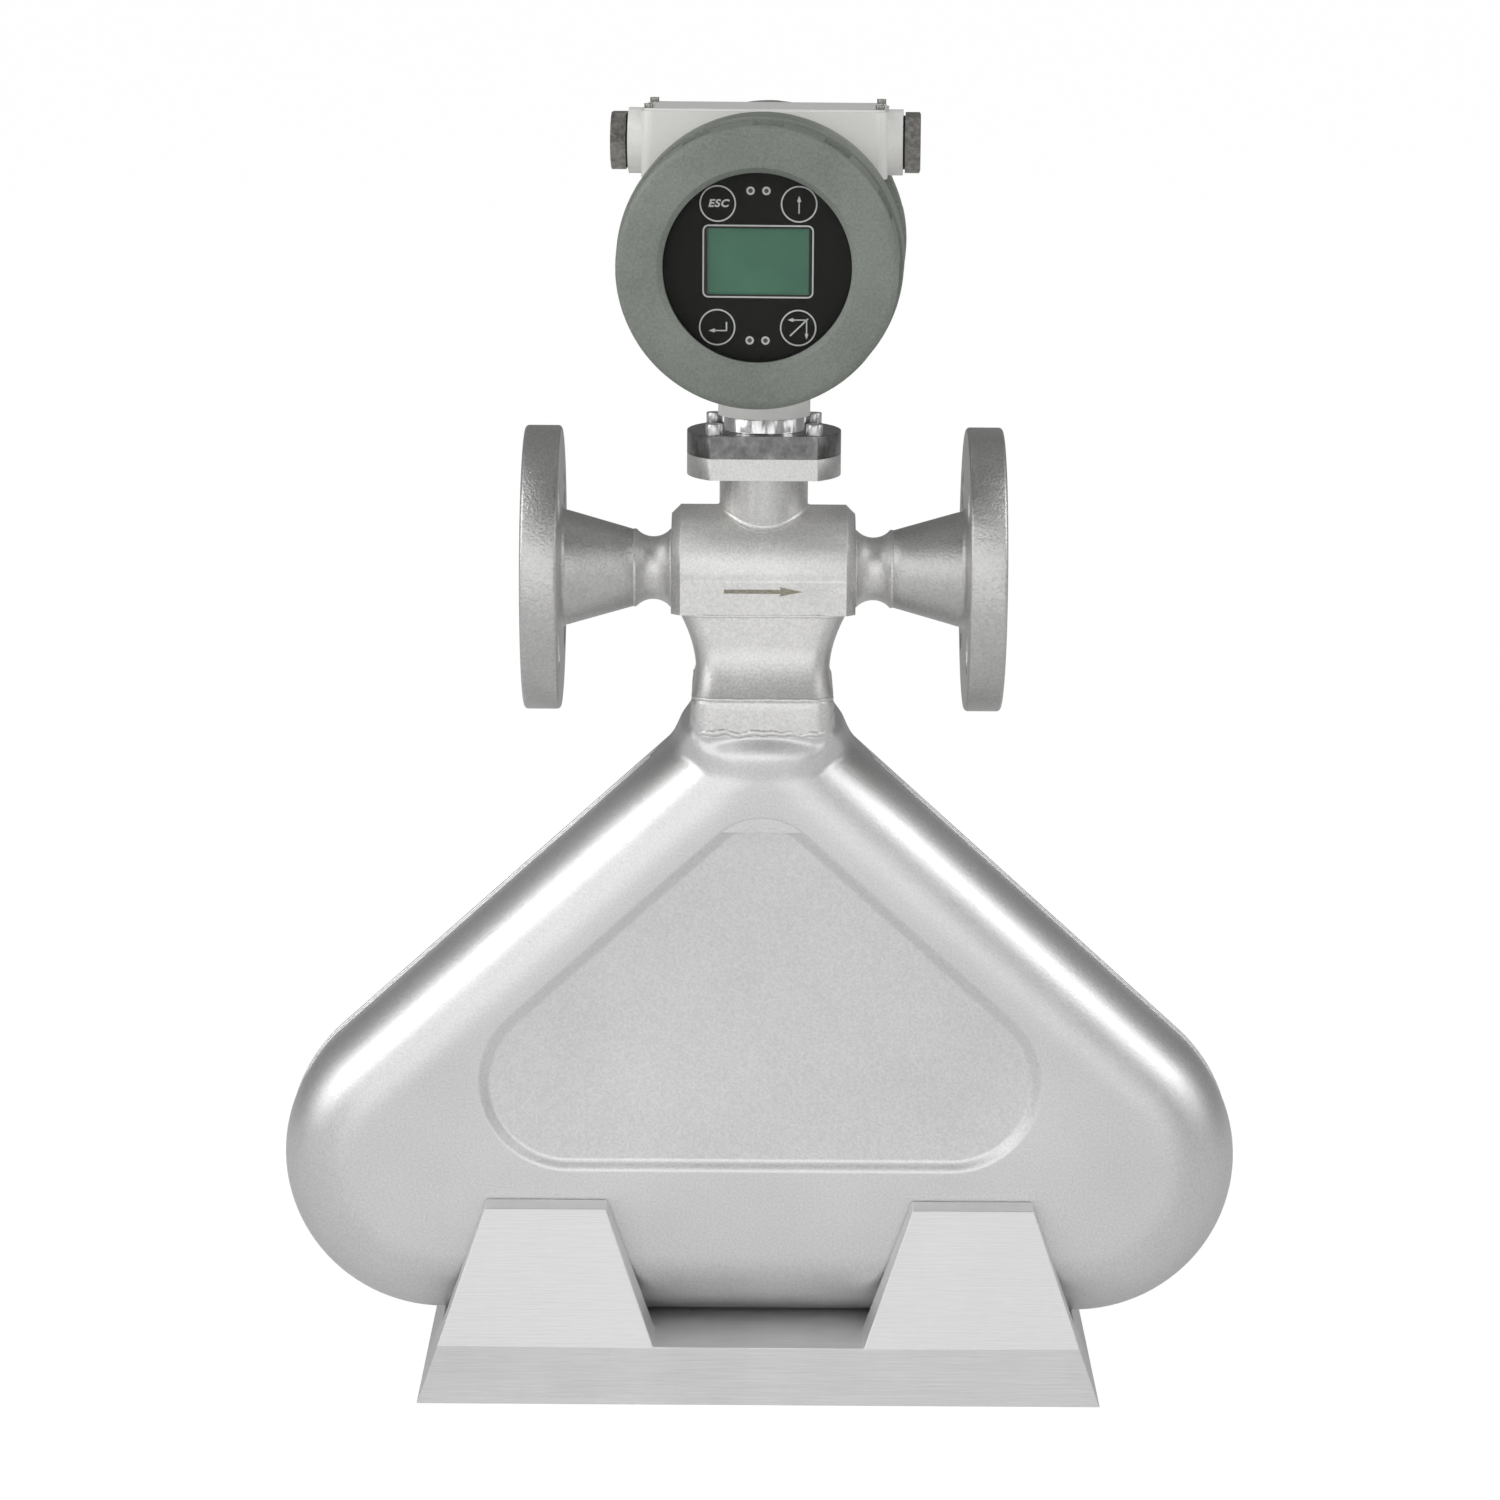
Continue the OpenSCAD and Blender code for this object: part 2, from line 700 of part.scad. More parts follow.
// Weld-neck flange, turned about the pipe axis, its face at the +X end
module flange() {
    face = face_to_face / 2;
    rim = face - raised_face_h;
    hub_r = hub_d / 2;
    color(steel) translate([0, 0, pipe_z]) rotate([0, 90, 0]) difference() {
        rotate_extrude($fn = 180) difference() {
            polygon([
                [flange_bore_d / 2, weld_x], [pipe_d / 2, weld_x],
                [hub_r, flange_back_x - hub_fillet], [hub_r + hub_fillet, flange_back_x - hub_fillet],
                [hub_r + hub_fillet, flange_back_x], [flange_d / 2 - 1, flange_back_x],
                [flange_d / 2, flange_back_x + 1], [flange_d / 2, rim - 1], [flange_d / 2 - 1, rim],
                [raised_face_d / 2, rim], [raised_face_d / 2, face], [flange_bore_d / 2, face]
            ]);
            translate([hub_r + hub_fillet, flange_back_x - hub_fillet]) circle(hub_fillet, $fn = 48);
        }
        for (i = [0:bolt_count - 1]) rotate([0, 0, 360 * (i + 0.5) / bolt_count])
            translate([bolt_circle_d / 2, 0, flange_back_x - 1]) cylinder(d = bolt_hole_d, h = flange_t + 4);
    }
}

module inlet_flange() {
    mirror([1, 0, 0]) flange();
}

module outlet_flange() {
    flange();
}

// ---------------------------------------------------------------- stem and adapter

module plate_area() {
    intersection() {
        circle(d = plate_d, $fn = 128);
        square([plate_d, plate_flats], center = true);
    }
}

module at_plate_screws() {
    for (sx = [-1, 1], sy = [-1, 1])
        translate([sx * plate_screw_x / 2, sy * plate_screw_y / 2]) children();
}

// Stem with its plate, saddled on the manifold's round top
module stem_flange() {
    color(steel) difference() {
        union() {
            translate([0, 0, pipe_z]) cylinder(d = stem_d, h = stem_plate_z - pipe_z + eps, $fn = 96);
            translate([0, 0, stem_plate_z]) linear_extrude(stem_plate_t) plate_area();
        }
        translate([0, 0, pipe_z]) rotate([0, 90, 0])
            cylinder(r = manifold_r, h = manifold_len, center = true, $fn = 128);
        translate([0, 0, pipe_z]) cylinder(d = stem_bore_d, h = adapter_z);
        at_plate_screws() translate([0, 0, adapter_z - 8]) cylinder(d = plate_screw_d + 0.4, h = 9);
    }
}

module adapter_plate() {
    color(plate_steel) difference() {
        union() {
            translate([0, 0, adapter_z]) linear_extrude(adapter_t) plate_area();
            translate([0, 0, adapter_top_z - eps])
                cylinder(d = spigot_d, h = spigot_shoulder + eps, $fn = 96);
            translate([0, 0, boss_z - eps]) cylinder(d = spigot_top_d, h = spigot_top_len, $fn = 96);
        }
        translate([0, 0, adapter_z - 1])
            cylinder(d = stem_bore_d, h = adapter_t + spigot_shoulder + spigot_top_len + 2);
        at_plate_screws() translate([0, 0, adapter_z - 1])
            cylinder(d = plate_screw_d + 0.4, h = adapter_t + 2);
    }
}

module adapter_screws() {
    socket = 0.75 * plate_screw_d;
    color("#b9b9b9") at_plate_screws() translate([0, 0, adapter_top_z]) difference() {
        union() {
            translate([0, 0, -adapter_t - 7]) cylinder(d = plate_screw_d, h = adapter_t + 7 + eps);
            cylinder(d = screw_head_d, h = screw_head_h);
        }
        translate([0, 0, screw_head_h / 2]) cylinder(d = socket / cos(30), h = screw_head_h, $fn = 6);
    }
}

// ---------------------------------------------------------------- flow tubes

// Section of a tube's wall, thinner on both sides by the given amount
module tube_area(less) {
    difference() {
        circle(tube_d / 2 - less);
        circle(tube_d / 2 - tube_wall + less);
    }
}

module tube_bend(bend_r, sweep) {
    rotate_extrude(angle = sweep, $fn = 128) translate([bend_r, 0]) tube_area(0);
}

module tube_run(len) {
    translate([0, -step, 0]) rotate([-90, 0, 0]) linear_extrude(len + 2 * step) tube_area(step);
}

// One tube, drawn lying with its lower run along the X axis. Each half is a
// chain from its lower corner.
module tube_loop() {
    for (s = [0, 1]) mirror([s, 0, 0]) translate(corner) {
        rotate([0, 0, -90]) {
            translate([tube_corner_r, -corner[0]]) tube_run(corner[0]);
            tube_bend(tube_corner_r, 90 + side_turn);
        }
        rotate([0, 0, side_turn]) translate([tube_corner_r, 0]) {
            tube_run(run_len);
            translate([leg_bend_r, run_len]) {
                rotate([0, 0, 180 - side_turn]) tube_bend(leg_bend_r, side_turn);
                rotate([0, 0, -side_turn]) translate([-leg_bend_r, 0]) tube_run(tube_top_z - bend[1]);
            }
        }
    }
}

module flow_tube(y) {
    color("#d2d2d0") translate([0, y, 0]) facing() tube_loop();
}

module front_flow_tube() {
    flow_tube(-tube_y);
}

module rear_flow_tube() {
    flow_tube(tube_y);
}

// Plate that ties the four legs together under the manifold
module tube_node_plate() {
    color("#b5b5b2") translate([0, 0, node_plate_z]) linear_extrude(tie_plate_t) difference() {
        rounded_rect(leg_spacing + tube_d + 6, tube_spacing + tube_d + 8, 6);
        for (x = [-leg_x, leg_x], y = [-tube_y, tube_y]) translate([x, y]) circle(d = tube_hole_d);
    }
}

// Places a piece on the right-hand run at a distance from the leg bend.
// X runs down along the tube, Z points into the case, Y to the rear.
module on_run(distance) {
    at = run_start + distance * [side_n[1], -side_n[0]];
    translate([at[0], 0, at[1]]) rotate([0, case_slope + 180, 0]) rotate([0, 0, 180]) children();
}

module both_sides() {
    for (s = [0, 1]) mirror([s, 0, 0]) children();
}

module brace_plates() {
    color("#b5b5b2") both_sides() on_run(24) rotate([0, 90, 0]) linear_extrude(tie_plate_t)
        difference() {
            rounded_rect(tube_d + 6, tube_spacing + tube_d + 6, 6);
            for (y = [-tube_y, tube_y]) translate([0, y]) circle(d = tube_hole_d);
        }
}

// ---------------------------------------------------------------- coils and magnets

// Saddle on one tube, and the round body that it carries; side is -1 or 1
module saddle(side) {
    translate([-saddle_w / 2, side * tube_y - 5, 0]) difference() {
        cube([saddle_w, 10, coil_rise - 2]);
        translate([-1, 5, 0]) rotate([0, 90, 0]) cylinder(d = tube_hole_d, h = saddle_w + 2);
    }
}

module sense_coil() {
    color("#b5651d") difference() {
        union() {
            saddle(-1);
            translate([0, -tube_y - 5, coil_rise]) rotate([-90, 0, 0]) cylinder(r = coil_r, h = coil_len);
        }
        translate([0, -tube_y + 1, coil_rise]) rotate([-90, 0, 0]) cylinder(r = magnet_r + 1, h = coil_len);
    }
}

module sense_magnet() {
    color("#6d6f72") {
        saddle(1);
        translate([0, tube_y - 5, coil_rise]) rotate([-90, 0, 0]) cylinder(r = coil_r, h = 10);
        translate([0, -tube_y + 4, coil_rise]) rotate([-90, 0, 0]) cylinder(r = magnet_r, h = 2 * tube_y - 8);
    }
}

module drive_coil() {
    translate([0, 0, corner[1] - tube_corner_r]) sense_coil();
}

module drive_magnet() {
    translate([0, 0, corner[1] - tube_corner_r]) sense_magnet();
}

module right_pickoff_coil() {
    on_run(run_len / 2) sense_coil();
}

module right_pickoff_magnet() {
    on_run(run_len / 2) sense_magnet();
}

module left_pickoff_coil() {
    mirror([1, 0, 0]) right_pickoff_coil();
}

module left_pickoff_magnet() {
    mirror([1, 0, 0]) right_pickoff_magnet();
}

// Resistance thermometer clipped on the front tube's inlet run
module temperature_sensor() {
    clip_r = tube_d / 2 + 1.2;
    probe_r = 2.5;
    color("#c8c4b8") mirror([1, 0, 0]) on_run(50) translate([0, -tube_y, 0]) rotate([0, 90, 0]) {
        difference() {
            cylinder(r = clip_r, h = 8);
            translate([0, 0, -1]) cylinder(d = tube_hole_d, h = 10);
        }
        translate([0, -clip_r - probe_r + 0.8, -6]) cylinder(r = probe_r, h = 20);
    }
}

// ---------------------------------------------------------------- wiring through the stem

module signal_feedthrough() {
    pin_ring_r = stem_bore_d / 2 - 4;
    color("#8c8a84") translate([0, 0, feed_z]) {
        cylinder(d = stem_bore_d - 0.1, h = feed_t);
        for (i = [0:7]) rotate([0, 0, 45 * i]) translate([pin_ring_r, 0, -2]) cylinder(d = 1, h = feed_t + 5);
    }
}

// Wire bundle from the tube plate to the seal, and on to the power board
module signal_harness() {
    bundle_d = 5;
    start_z = node_plate_z + tie_plate_t;
    upper_z = feed_z + feed_t;
    color("#3a6ea5") {
        translate([0, 0, start_z]) cylinder(d = bundle_d, h = feed_z - start_z);
        translate([0, 0, upper_z]) cylinder(d = bundle_d, h = head_z - chamber_r + 6 - upper_z);
    }
}

// ---------------------------------------------------------------- transmitter housing

module housing_box_area(inset) {
    rounded_rect(box_len - 2 * inset, box_depth - 2 * inset, 5);
}

module transmitter_housing() {
    neck_r = cover_thread_r;
    box_floor = conduit_rise - conduit_boss_d / 2;
    cavity_floor = conduit_rise - conduit_d / 2 - 1;
    color(housing_white) at_head() difference() {
        union() {
            turned([
                [0, -rear_neck_end], [neck_r, -rear_neck_end], [neck_r, -barrel_half],
                [barrel_r, -barrel_half], [barrel_r, barrel_half], [neck_r, barrel_half],
                [neck_r, front_neck_end], [0, front_neck_end]
            ]);
            translate([0, 0, box_floor]) linear_extrude(box_rise - box_floor) housing_box_area(0);
            translate([0, 0, conduit_rise]) rotate([0, 90, 0])
                cylinder(d = conduit_boss_d, h = 2 * boss_end, center = true, $fn = 96);
            translate([0, 0, -boss_drop]) cylinder(d = neck_boss_d, h = boss_drop - chamber_r, $fn = 96);
        }
        turned([
            [0, -rear_neck_end - 1], [chamber_r, -rear_neck_end - 1],
            [chamber_r, -partition_half], [0, -partition_half]
        ]);
        turned([
            [0, front_neck_end + 1], [0, partition_half],
            [chamber_r, partition_half], [chamber_r, front_neck_end + 1]
        ]);
        translate([0, 0, cavity_floor]) linear_extrude(box_rise) housing_box_area(box_wall);
        translate([0, 0, conduit_rise]) rotate([0, 90, 0])
            cylinder(d = conduit_d, h = 2 * boss_end + 2, center = true);
        translate([0, 0, -boss_drop - 1]) cylinder(d = spigot_top_d + 0.2, h = spigot_top_len + 1.5);
        translate([0, 0, -boss_drop]) cylinder(d = stem_bore_d, h = boss_drop - partition_half - 20);
        translate([0, 0, box_rise]) at_top_screws() translate([0, 0, -top_screw_len - 1])
            cylinder(d = top_hole_d, h = top_screw_len + 2);
    }
}

module at_top_screws() {
    for (sx = [-1, 1], sy = [-1, 1]) translate([sx * top_screw_x, sy * top_screw_y]) children();
}

module top_plate() {
    color("#cfd0ce") at_head() translate([0, 0, box_rise]) linear_extrude(top_plate_t) difference() {
        rounded_rect(box_len - 2, box_depth - 2, 4);
        at_top_screws() circle(d = top_hole_d, $fn = 32);
    }
}

module top_plate_screws() {
    cross_l = 0.93 * top_screw_d;
    cross_w = 0.17 * top_screw_d;
    cross_h = 0.27 * top_screw_d;
    color("#6d6a66") at_head() translate([0, 0, box_rise + top_plate_t]) at_top_screws() difference() {
        union() {
            translate([0, 0, -top_screw_len]) cylinder(d = top_screw_d, h = top_screw_len + eps, $fn = 32);
            cylinder(d = 1.3 * top_screw_d, h = top_head_h, $fn = 32);
        }
        for (a = [0, 90]) rotate([0, 0, a]) translate([-cross_l / 2, -cross_w / 2, top_head_h - cross_h])
            cube([cross_l, cross_w, 2 * cross_h]);
    }
}

// ---------------------------------------------------------------- conduit plugs

// Plug at the +X end, in the transmitter's frame
module conduit_plug(turn) {
    hex_r = plug_af / 2 / cos(30);
    shank_r = conduit_d / 2 - fit_gap;
    chamfer = 1.2;
    color(plate_steel) translate([hex_x, 0, conduit_rise]) rotate([0, 90, 0]) {
        intersection() {
            rotate([0, 0, 90 + turn]) cylinder(r = hex_r, h = plug_hex_t, $fn = 6);
            rotate_extrude($fn = 96) polygon([
                [0, 0], [2 * hex_r - plug_af / 2, 0], [2 * hex_r - plug_af / 2, plug_hex_t - chamfer],
                [plug_af / 2, plug_hex_t], [0, plug_hex_t]
            ]);
        }
        translate([0, 0, -plug_shank_len]) cylinder(r = shank_r, h = plug_shank_len + eps);
    }
}

module plug_washer() {
    color("#262626") translate([washer_x, 0, conduit_rise]) rotate([0, 90, 0]) difference() {
        cylinder(d = plug_washer_d, h = plug_washer_t);
        translate([0, 0, -1]) cylinder(d = conduit_d + 0.2, h = plug_washer_t + 2);
    }
}

module left_conduit_plug() {
    at_head() mirror([1, 0, 0]) conduit_plug(0);
}

module right_conduit_plug() {
    at_head() conduit_plug(6);
}

module left_plug_washer() {
    at_head() mirror([1, 0, 0]) plug_washer();
}

module right_plug_washer() {
    at_head() plug_washer();
}

// ---------------------------------------------------------------- covers

// Grip notches in a rim of radius r, between two distances along the axis
module grip_notches(r, from, to, first_angle) {
    for (i = [0:notch_count - 1]) rotate([0, first_angle + 360 * i / notch_count, 0])
        translate([-notch_w / 2, -to, r - notch_depth]) cube([notch_w, to - from, 2 * notch_depth]);
}

module front_cover() {
    rim_r = cover_rim_r;
    band_r = cover_r;
    band_end = cover_base + front_band_len;
    bell_r = chamber_r + 1;
    thread_end = cover_base + front_neck_len + 1.5;
    color(cover_grey) at_head() difference() {
        turned([
            [window_r + 2.3, cover_face], [rim_r - cover_bevel, cover_face],
            [rim_r, cover_face - cover_bevel], [rim_r, band_end], [band_r, band_end],
            [band_r, cover_base], [gland_r, cover_base], [gland_r, gland_end],
            [thread_r, gland_end], [thread_r, thread_end], [bell_r, thread_end],
            [bell_r, retainer_back], [glass_r, retainer_back], [glass_r, glass_front],
            [window_r, glass_front], [window_r, cover_face - 2.3]
        ]);
        grip_notches(rim_r, band_end + 2, cover_face - cover_bevel - 1, -5);
    }
}

module rear_cover() {
    band_r = cover_r;
    thread_end = cover_base + rear_neck_len + 1;
    color(cover_grey) at_head() mirror([0, 1, 0]) difference() {
        turned([
            [0, rear_face], [band_r - cover_bevel, rear_face], [band_r, rear_face - cover_bevel],
            [band_r, cover_base], [gland_r, cover_base], [gland_r, gland_end],
            [thread_r, gland_end], [thread_r, thread_end],
            [thread_r - 4, rear_face - rear_cup_wall], [0, rear_face - rear_cup_wall]
        ]);
        grip_notches(band_r, cover_base + 6, rear_face - cover_bevel - 1, 10);
    }
}

module cover_seal() {
    color("#1c1c1c") facing() rotate_extrude($fn = 128)
        translate([seal_ring_r, cover_base + seal_d / 2]) circle(d = seal_d, $fn = 32);
}

module front_cover_seal() {
    at_head() cover_seal();
}

module rear_cover_seal() {
    at_head() mirror([0, 1, 0]) cover_seal();
}

module window_glass() {
    color([0.75, 0.85, 0.85, 0.3]) at_head() turned([
        [0, glass_back], [glass_r - 0.2, glass_back], [glass_r - 0.2, glass_front], [0, glass_front]
    ]);
}

module window_retainer() {
    color("#4a4a4a") at_head() turned([
        [retainer_r, retainer_back], [glass_r - 0.1, retainer_back],
        [glass_r - 0.1, glass_back], [retainer_r, glass_back]
    ]);
}

// ---------------------------------------------------------------- display

module at_leds() {
    for (sx = [-1, 1], sz = [-1, 1]) translate([sx * led_pitch / 2, sz * led_rise]) children();
}

// Places a drawing on the display, its thickness counted back from a front face
module on_display(front, thickness) {
    at_head() facing() translate([0, 0, front - thickness]) linear_extrude(thickness) children();
}

module display_panel() {
    color("#2a2c2a") on_display(panel_front, panel_t) difference() {
        circle(d = panel_d, $fn = 128);
        translate([0, lcd_rise]) square([lcd_w, lcd_h], center = true);
        at_leds() circle(d = led_d + 0.2, $fn = 24);
    }
}

module lcd_module() {
    color("#50806a") on_display(lcd_front, lcd_t) translate([0, lcd_rise])
        square([lcd_w + 8, lcd_h + 8], center = true);
}

module indicator_leds() {
    color("#e8e8e0") on_display(panel_front, panel_t + lcd_t) at_leds() circle(d = led_d, $fn = 24);
}

module at_pillars() {
    for (i = [0:3]) rotate([0, 0, 45 + 90 * i]) translate([pillar_ring_d / 2, 0]) children();
}

module display_board() {
    color(board_green) on_display(display_board_front, board_t) circle(d = display_board_d, $fn = 96);
}

module main_board() {
    color(board_green) {
        on_display(main_board_back + board_t, board_t) circle(d = inner_board_d, $fn = 96);
        on_display(main_board_back + board_t + grid, grid + lap) {
            square(5 * grid, center = true);
            translate([0, 6 * grid]) square([8 * grid, 3 * grid], center = true);
            translate([-7 * grid, -grid]) square(3 * grid, center = true);
        }
    }
}

module power_board() {
    color(board_green) {
        on_display(power_board_back + board_t, board_t) circle(d = inner_board_d, $fn = 96);
        on_display(power_board_back + board_t + 4 * grid, 4 * grid + lap) {
            translate([-3 * grid, grid]) square([7 * grid, 6 * grid], center = true);
            for (y = [4, -1]) translate([5 * grid, y * grid]) circle(d = 3.5 * grid);
        }
    }
}

// Three tiers of pillars: partition, power board, main board, display board
module board_pillars() {
    tiers = [
        [partition_half, power_board_back],
        [power_board_back + board_t, main_board_back],
        [main_board_back + board_t, display_board_front - board_t]
    ];
    color("#a7a49c") for (tier = tiers) on_display(tier[1], tier[1] - tier[0])
        at_pillars() circle(d = pillar_d, $fn = 32);
}

// ---------------------------------------------------------------- terminals

module at_terminals() {
    for (i = [0:terminal_count - 1], z = [-terminal_row / 2, terminal_row / 2])
        translate([terminal_pitch * (i - (terminal_count - 1) / 2), z]) children();
}

module terminal_block() {
    color("#3c3c3c") at_head() translate([0, partition_half, 0]) rotate([-90, 0, 0]) difference() {
        linear_extrude(terminal_h) square([terminal_len, 2.4 * terminal_row], center = true);
        translate([0, 0, terminal_h - terminal_well]) linear_extrude(terminal_h)
            at_terminals() circle(d = terminal_d + 2 * fit_gap, $fn = 32);
    }
}

module terminal_screws() {
    slot = terminal_d / 6;
    color("#c4b27a") at_head() translate([0, partition_half + terminal_h - terminal_well, 0])
        rotate([-90, 0, 0]) difference() {
            linear_extrude(3 * slot) at_terminals() circle(d = terminal_d, $fn = 32);
            translate([0, 0, 2 * slot]) linear_extrude(3 * slot)
                at_terminals() square([2 * terminal_d, slot], center = true);
        }
}

// ---------------------------------------------------------------- parts shown

stand();
front_case_shell();
rear_case_shell();
case_rim_band();
neck_collar();
sensor_neck();
flow_manifold();
inlet_flange();
outlet_flange();
stem_flange();
adapter_plate();
adapter_screws();
front_flow_tube();
rear_flow_tube();
tube_node_plate();
brace_plates();
drive_coil();
drive_magnet();
left_pickoff_coil();
left_pickoff_magnet();
right_pickoff_coil();
right_pickoff_magnet();
temperature_sensor();
signal_feedthrough();
signal_harness();
transmitter_housing();
top_plate();
top_plate_screws();
left_conduit_plug();
right_conduit_plug();
left_plug_washer();
right_plug_washer();
front_cover();
front_cover_seal();
window_glass();
window_retainer();
rear_cover();
rear_cover_seal();
display_panel();
lcd_module();
indicator_leds();
display_board();
main_board();
power_board();
board_pillars();
terminal_block();
terminal_screws();
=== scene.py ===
"""Coriolis flow meter: looks, light and camera. Metres, +Z up, display side -Y."""

import math

import bmesh
import bpy
from mathutils import Matrix, Vector, noise


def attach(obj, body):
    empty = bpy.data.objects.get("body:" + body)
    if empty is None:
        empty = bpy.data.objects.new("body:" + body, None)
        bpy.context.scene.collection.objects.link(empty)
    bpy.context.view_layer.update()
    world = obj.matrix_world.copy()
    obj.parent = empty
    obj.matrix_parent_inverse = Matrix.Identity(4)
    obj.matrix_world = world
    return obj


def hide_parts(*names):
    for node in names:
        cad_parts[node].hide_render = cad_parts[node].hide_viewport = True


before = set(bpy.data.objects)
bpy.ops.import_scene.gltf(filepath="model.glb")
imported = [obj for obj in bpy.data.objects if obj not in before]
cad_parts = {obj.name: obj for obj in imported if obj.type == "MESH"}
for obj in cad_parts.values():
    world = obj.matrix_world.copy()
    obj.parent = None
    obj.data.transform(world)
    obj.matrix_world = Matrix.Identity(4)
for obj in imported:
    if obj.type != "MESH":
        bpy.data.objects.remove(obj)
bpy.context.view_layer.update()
MM = 0.001


# ------------------------------------------------------------------ shader kit


class Sock:
    """A value in a node tree. Arithmetic on it adds Math nodes to its tree."""

    def __init__(self, tree, out):
        self.tree, self.out = tree, out

    def __add__(self, other):
        return self.tree.math("ADD", self, other)

    def __sub__(self, other):
        return self.tree.math("SUBTRACT", self, other)

    def __rsub__(self, other):
        return self.tree.math("SUBTRACT", other, self)

    def __mul__(self, other):
        return self.tree.math("MULTIPLY", self, other)

    def __truediv__(self, other):
        return self.tree.math("DIVIDE", self, other)

    __radd__, __rmul__ = __add__, __mul__

    def band(self, low, high, start=0.0, end=1.0):
        """start below low, end above high, smooth between."""
        ends = {"From Min": low, "From Max": high, "To Min": start, "To Max": end}
        smooth = {"interpolation_type": "SMOOTHSTEP"}
        return self.tree.node("ShaderNodeMapRange", "Result", smooth, Value=self, **ends)


class Tree:
    """A node tree that is built by calls."""

    def __init__(self, nodes):
        self.nodes = nodes

    def put(self, slot, value):
        if isinstance(value, Sock):
            self.nodes.links.new(value.out, slot)
        else:
            slot.default_value = value

    def node(self, kind, output=0, settings=None, **inputs):
        """Adds a node, makes its settings, sets or links its inputs by name, and returns one output."""
        node = self.nodes.nodes.new(kind)
        for key, value in (settings or {}).items():
            setattr(node, key, value)
        for key, value in inputs.items():
            self.put(node.inputs[key.replace("_", " ")], value)
        return Sock(self, node.outputs[output])

    def math(self, operation, *values):
        node = self.nodes.nodes.new("ShaderNodeMath")
        node.operation = operation
        for slot, value in zip(node.inputs, values):
            self.put(slot, value)
        return Sock(self, node.outputs[0])


class Mat(Tree):
    """A node material with one Principled shader."""

    def __init__(self, name, **fixed):
        self.mat = bpy.data.materials.new(name)
        self.mat.use_nodes = True
        super().__init__(self.mat.node_tree)
        self.shader = self.nodes.nodes["Principled BSDF"]
        for key, value in fixed.items():
            self.shader.inputs[key.replace("_", " ")].default_value = value
        self.place = self.node("ShaderNodeTexCoord", "Object")

    def grain(self, scale, detail=2.0, stretch=(1, 1, 1), roughness=0.55):
        """Noise of the given number of features in a metre, from 0 to 1."""
        place = self.node("ShaderNodeMapping", Vector=self.place, Scale=stretch)
        sizes = {"Scale": scale, "Detail": detail, "Roughness": roughness}
        return self.node("ShaderNodeTexNoise", "Fac", Vector=place, **sizes)

    def height(self):
        """The point's height in metres."""
        return self.node("ShaderNodeSeparateXYZ", "Z", Vector=self.place)

    def colours(self, factor, stops):
        """Colour that runs through stops, [(position, (r, g, b)), ...], as factor goes from 0 to 1."""
        ramp = self.nodes.nodes.new("ShaderNodeValToRGB")
        while len(ramp.color_ramp.elements) < len(stops):
            ramp.color_ramp.elements.new(0.5)
        for element, (position, colour) in zip(ramp.color_ramp.elements, stops):
            element.position, element.color = position, (*colour, 1)
        self.put(ramp.inputs["Fac"], factor)
        return Sock(self, ramp.outputs["Color"])

    def bump(self, height, distance, strength=1.0, under=None):
        node = self.nodes.nodes.new("ShaderNodeBump")
        node.inputs["Distance"].default_value = distance
        node.inputs["Strength"].default_value = strength
        self.put(node.inputs["Height"], height)
        if under:
            self.put(node.inputs["Normal"], under)
        return Sock(self, node.outputs["Normal"])

    def use(self, **inputs):
        for key, value in inputs.items():
            self.put(self.shader.inputs[key.replace("_", " ")], value)
        return self.mat


def grey(level, tint=(1, 1, 1)):
    return tuple(level * t for t in tint)


def blasted_steel(name, level, rough, grit, depth):
    """Bead-blasted stainless steel: grit is the grain in features per metre."""
    m = Mat(name, Metallic=1.0)
    fine = m.grain(grit, 3)
    broad = m.grain(28, 4)
    tone = fine * 0.6 + broad * 0.4
    warm = (1.0, 0.995, 0.98)
    return m.use(
        Base_Color=m.colours(tone, [(0.32, grey(level * 0.8, warm)), (0.68, grey(level * 1.12, warm))]),
        Roughness=fine * 0.12 + broad * 0.1 + (rough - 0.11),
        Normal=m.bump(fine, depth, 0.6, m.bump(m.grain(90, 2), 0.0004, 0.12)),
    )


def satin_sheet():
    """Satin stainless sheet: a fine even grain over slight waves of the pressing."""
    m = Mat("satin_sheet", Metallic=1.0)
    fine = m.grain(1000, 3)
    broad = m.grain(14, 3)
    return m.use(
        Base_Color=m.colours(fine * 0.7 + broad * 0.3, [(0.3, grey(0.68)), (0.7, grey(0.86))]),
        Roughness=fine * 0.12 + broad * 0.06 + 0.34,
        Normal=m.bump(fine, 0.00016, 0.5, m.bump(broad, 0.002, 0.06)),
    )


def brushed_aluminium():
    m = Mat("brushed_aluminium", Metallic=1.0)
    lines = m.grain(1300, 3, (0.03, 1, 1), 0.7)
    cloud = m.grain(22, 4)
    scratch = m.grain(420, 2, (0.05, 1, 1), 0.8).band(0.62, 0.7)
    return m.use(
        Base_Color=m.colours(lines * 0.6 + cloud * 0.4, [(0.25, grey(0.70)), (0.75, grey(0.86))]),
        Roughness=lines * 0.2 + cloud * 0.1 + 0.36,
        Normal=m.bump(lines, 0.00015, 0.7, m.bump(scratch, 0.00006, 0.3)),
    )


